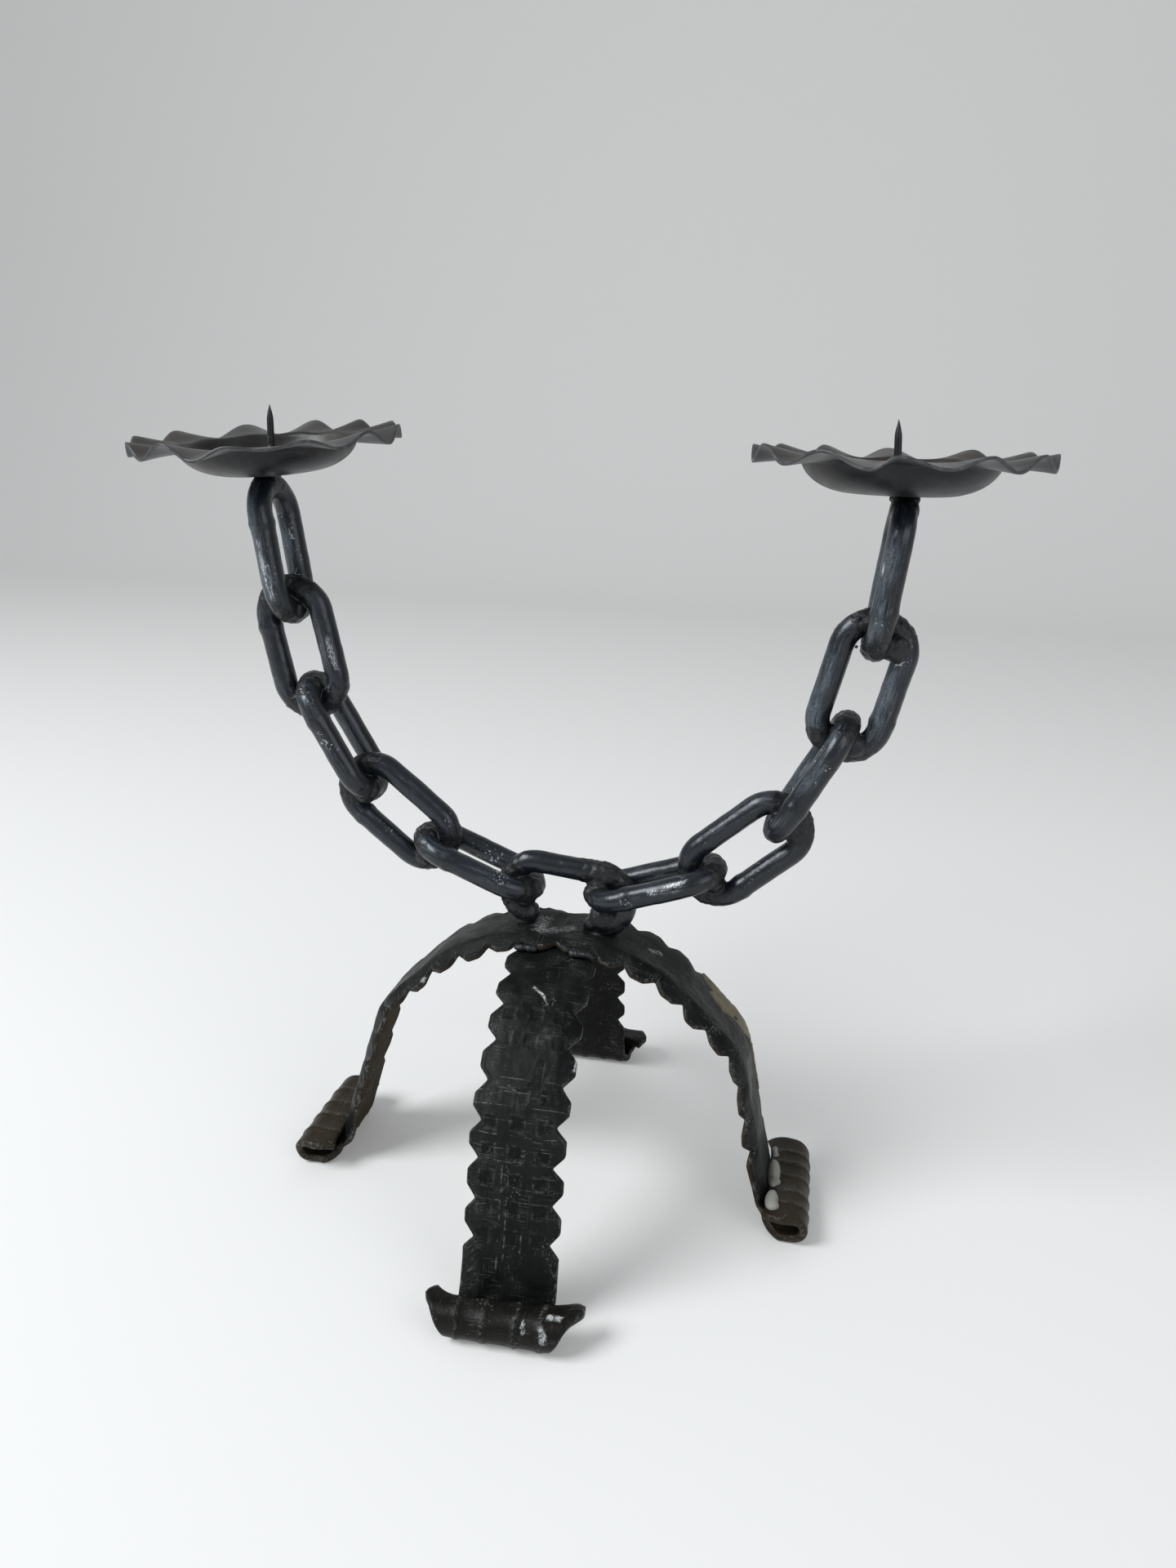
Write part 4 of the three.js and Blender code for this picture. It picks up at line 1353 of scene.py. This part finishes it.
# Welds of the base: the middle link's two feet stand in rough lumps of weld on the crown, and
# four tacks, each a short row of drops, hold the bars together at the corners of their crossing.

seat_places = {"left": -14.6, "right": 13.2}
seat_reach = 5.0  # along the wire
seat_oval = (2.9, 3.9)
seat_drop_radius = 1.15
seat_lumps = {  # as seen in the photograph: place from the foot, radius and stretch
    "left": [((0.5, 0, 0.4), 3.9, (0.9, 1, 0.75))],
    "right": [
        ((-0.5, 0, 0.4), 3.9, (0.9, 1, 0.75)),
        ((1.2, -1.2, 4.8), 4.9, (1, 1, 1.15)),
        ((-2.2, -2.4, 2.4), 2.8, (1, 1, 1)),
    ],
}
crown_fall = 0.009  # of the crown, times the square of the distance from its middle
tack_place = (10.0, 16.3)
tack_rise = 0.4  # over the lower bar
tack_drops = 5
tack_pitch = 1.5
tack_radius = 1.55


def build_seat_weld(side_name, sign, seed):
    """Weld round a foot of the middle link: drops and larger lumps."""
    bm = bmesh.new()
    foot = Vector((seat_places[side_name], 0, base_height))
    wire_near(bm, middle_link, foot + Vector((sign * 1.5, 0, 2)), seat_reach, seed)
    for i, offset in enumerate(oval(*seat_oval)):
        reach = 1 + 0.22 * rough(Vector((i * 3.0, 0, 0)), 2.0, seed)
        spot = foot + offset * reach
        spot.z -= crown_fall * spot.x**2
        lump(bm, spot, seat_drop_radius + 0.5 * rough(spot, 2.5, seed))
    for offset, radius, stretch in seat_lumps[side_name]:
        lump(bm, foot + Vector(offset), radius, stretch, detail=3)
    put_weld("weld_seat_" + side_name, fused(bm, voxel=0.40, passes=4, ripple=0.26, seed=seed))


def build_tack(name, x, y, seed):
    """A short row of drops of weld in a corner of the crossing."""
    bm = bmesh.new()
    centre = Vector((x, y, lower_bar_height + tack_rise))
    for i in range(tack_drops):
        off = i - tack_drops // 2
        step = Vector((tack_pitch * off, 0.25 * rough(Vector((i, y, 0)), 1.5, seed), -0.05 * abs(off)))
        radius = tack_radius + 0.35 * rough(Vector((i * 2.0, x, y)), 2.0, seed)
        lump(bm, centre + step, radius, (1, 1.05, 0.85), detail=3)
    put_weld(name, fused(bm, voxel=0.34, passes=3, ripple=0.22, seed=seed))


for side_name, sign in (("left", -1), ("right", 1)):
    build_seat_weld(side_name, sign, 40 + sign)
    build_tack("weld_crossing_front_" + side_name, sign * tack_place[0], -tack_place[1], 44 + sign)
    build_tack("weld_crossing_back_" + side_name, sign * tack_place[0], tack_place[1], 48 + sign)


# Candle wax that ran down and set: a thin yellowed film over the far edge of the right leg, and
# three whitish drops between that leg and its rolled foot.

wax_film = (55.0, 88.0)  # stretch of the leg, from the crown's middle
wax_film_inner = 4.0  # of its nearer edge from the bar's middle line
wax_film_outer = bar_width / 2 - 0.6
wax_film_step = 0.8
wax_run = 108.0  # down to which a run of it reaches
wax_run_place = 13.6  # across the bar
wax_run_step = 0.6
wax_drops_inset = 3.2  # from the start of the foot's pad
wax_drops_rise = 1.9  # over the foot's roll
wax_drops = ((14.0, 3.8, 1.4), (0.0, 8.8, 2.9), (-15.6, 5.6, 2.8))  # place across, half length, radius


def wax_material(name, colour, deep):
    """Cloudy wax, lit a little from within."""
    material, tree, shader = new_material(name)
    fog = use_group(tree, patches, Scale=160.0, Cover=0.8)
    tone, roughness = mix_colours(tree, fog, colour, deep), mix_values(tree, fog, 0.34, 0.5)
    shader.inputs["Subsurface Weight"].default_value = 0.25
    shader.inputs["Subsurface Scale"].default_value = 0.002
    skin = use_group(tree, grain, Dents=0.8, Scale_skin=0.3, Grit=0.1)
    finish(tree, shader, tone, roughness, skin, depth=0.0005, strength=0.4)
    return material


def build_wax_film():
    """A film that is thickest in its middle, and a thin run below it."""
    bm = bmesh.new()
    distance = wax_film[0]
    while distance < wax_film[1]:
        share = (distance - wax_film[0]) / (wax_film[1] - wax_film[0])
        full = math.sin(math.pi * share**0.8) ** 0.7
        spread = full * (1 + 0.35 * rough(Vector((distance, 0, 0)), 7.0))
        inner = wax_film_outer - (wax_film_outer - wax_film_inner) * spread
        across = inner
        while across < wax_film_outer:
            depth = (across - inner) / (wax_film_outer - inner)
            level = 1.0 + 0.25 * rough(Vector((distance, across, 0)), 4.0)
            radius = 0.62 + 0.85 * full * depth * (1.2 - depth)
            lump(bm, bar_point(right_half, distance, across, level), radius, detail=1)
            across += wax_film_step
        distance += wax_film_step
    while distance < wax_run:
        across = wax_run_place + 0.7 * rough(Vector((distance, 0, 0)), 5.0, 2.0)
        share = (wax_run - distance) / (wax_run - wax_film[1])
        lump(bm, bar_point(right_half, distance, across, 1.1), 0.75 + 0.3 * share, detail=1)
        distance += wax_run_step
    body = fused(bm, voxel=0.38, passes=8, ripple=0.12, seed=61)
    yellowed = wax_material("wax_film", (0.052, 0.043, 0.016), (0.135, 0.112, 0.044))
    put_in_frame("wax_film_right_leg", body, yellowed)


def build_wax_drops():
    """Drops in the hollow between the right leg and its rolled foot."""
    bm = bmesh.new()
    pad_x, _, _ = walk(right_half["course"], right_half["start"], right_half["pad start"])
    for across, half_length, radius in wax_drops:
        centre = Vector((pad_x - wax_drops_inset, across, 2 * roll_radius + wax_drops_rise))
        lump(bm, centre, radius, (0.9, half_length / radius, 1.15), detail=3)
        lump(bm, centre + Vector((0.5, -0.55 * half_length, 0.2)), 0.85 * radius, detail=3)
    body = fused(bm, voxel=0.35, passes=4, ripple=0.12, seed=67)
    whitish = wax_material("wax_drops", (0.16, 0.165, 0.14), (0.27, 0.27, 0.235))
    put_in_frame("wax_drops_right_foot", body, whitish)


build_wax_film()
build_wax_drops()
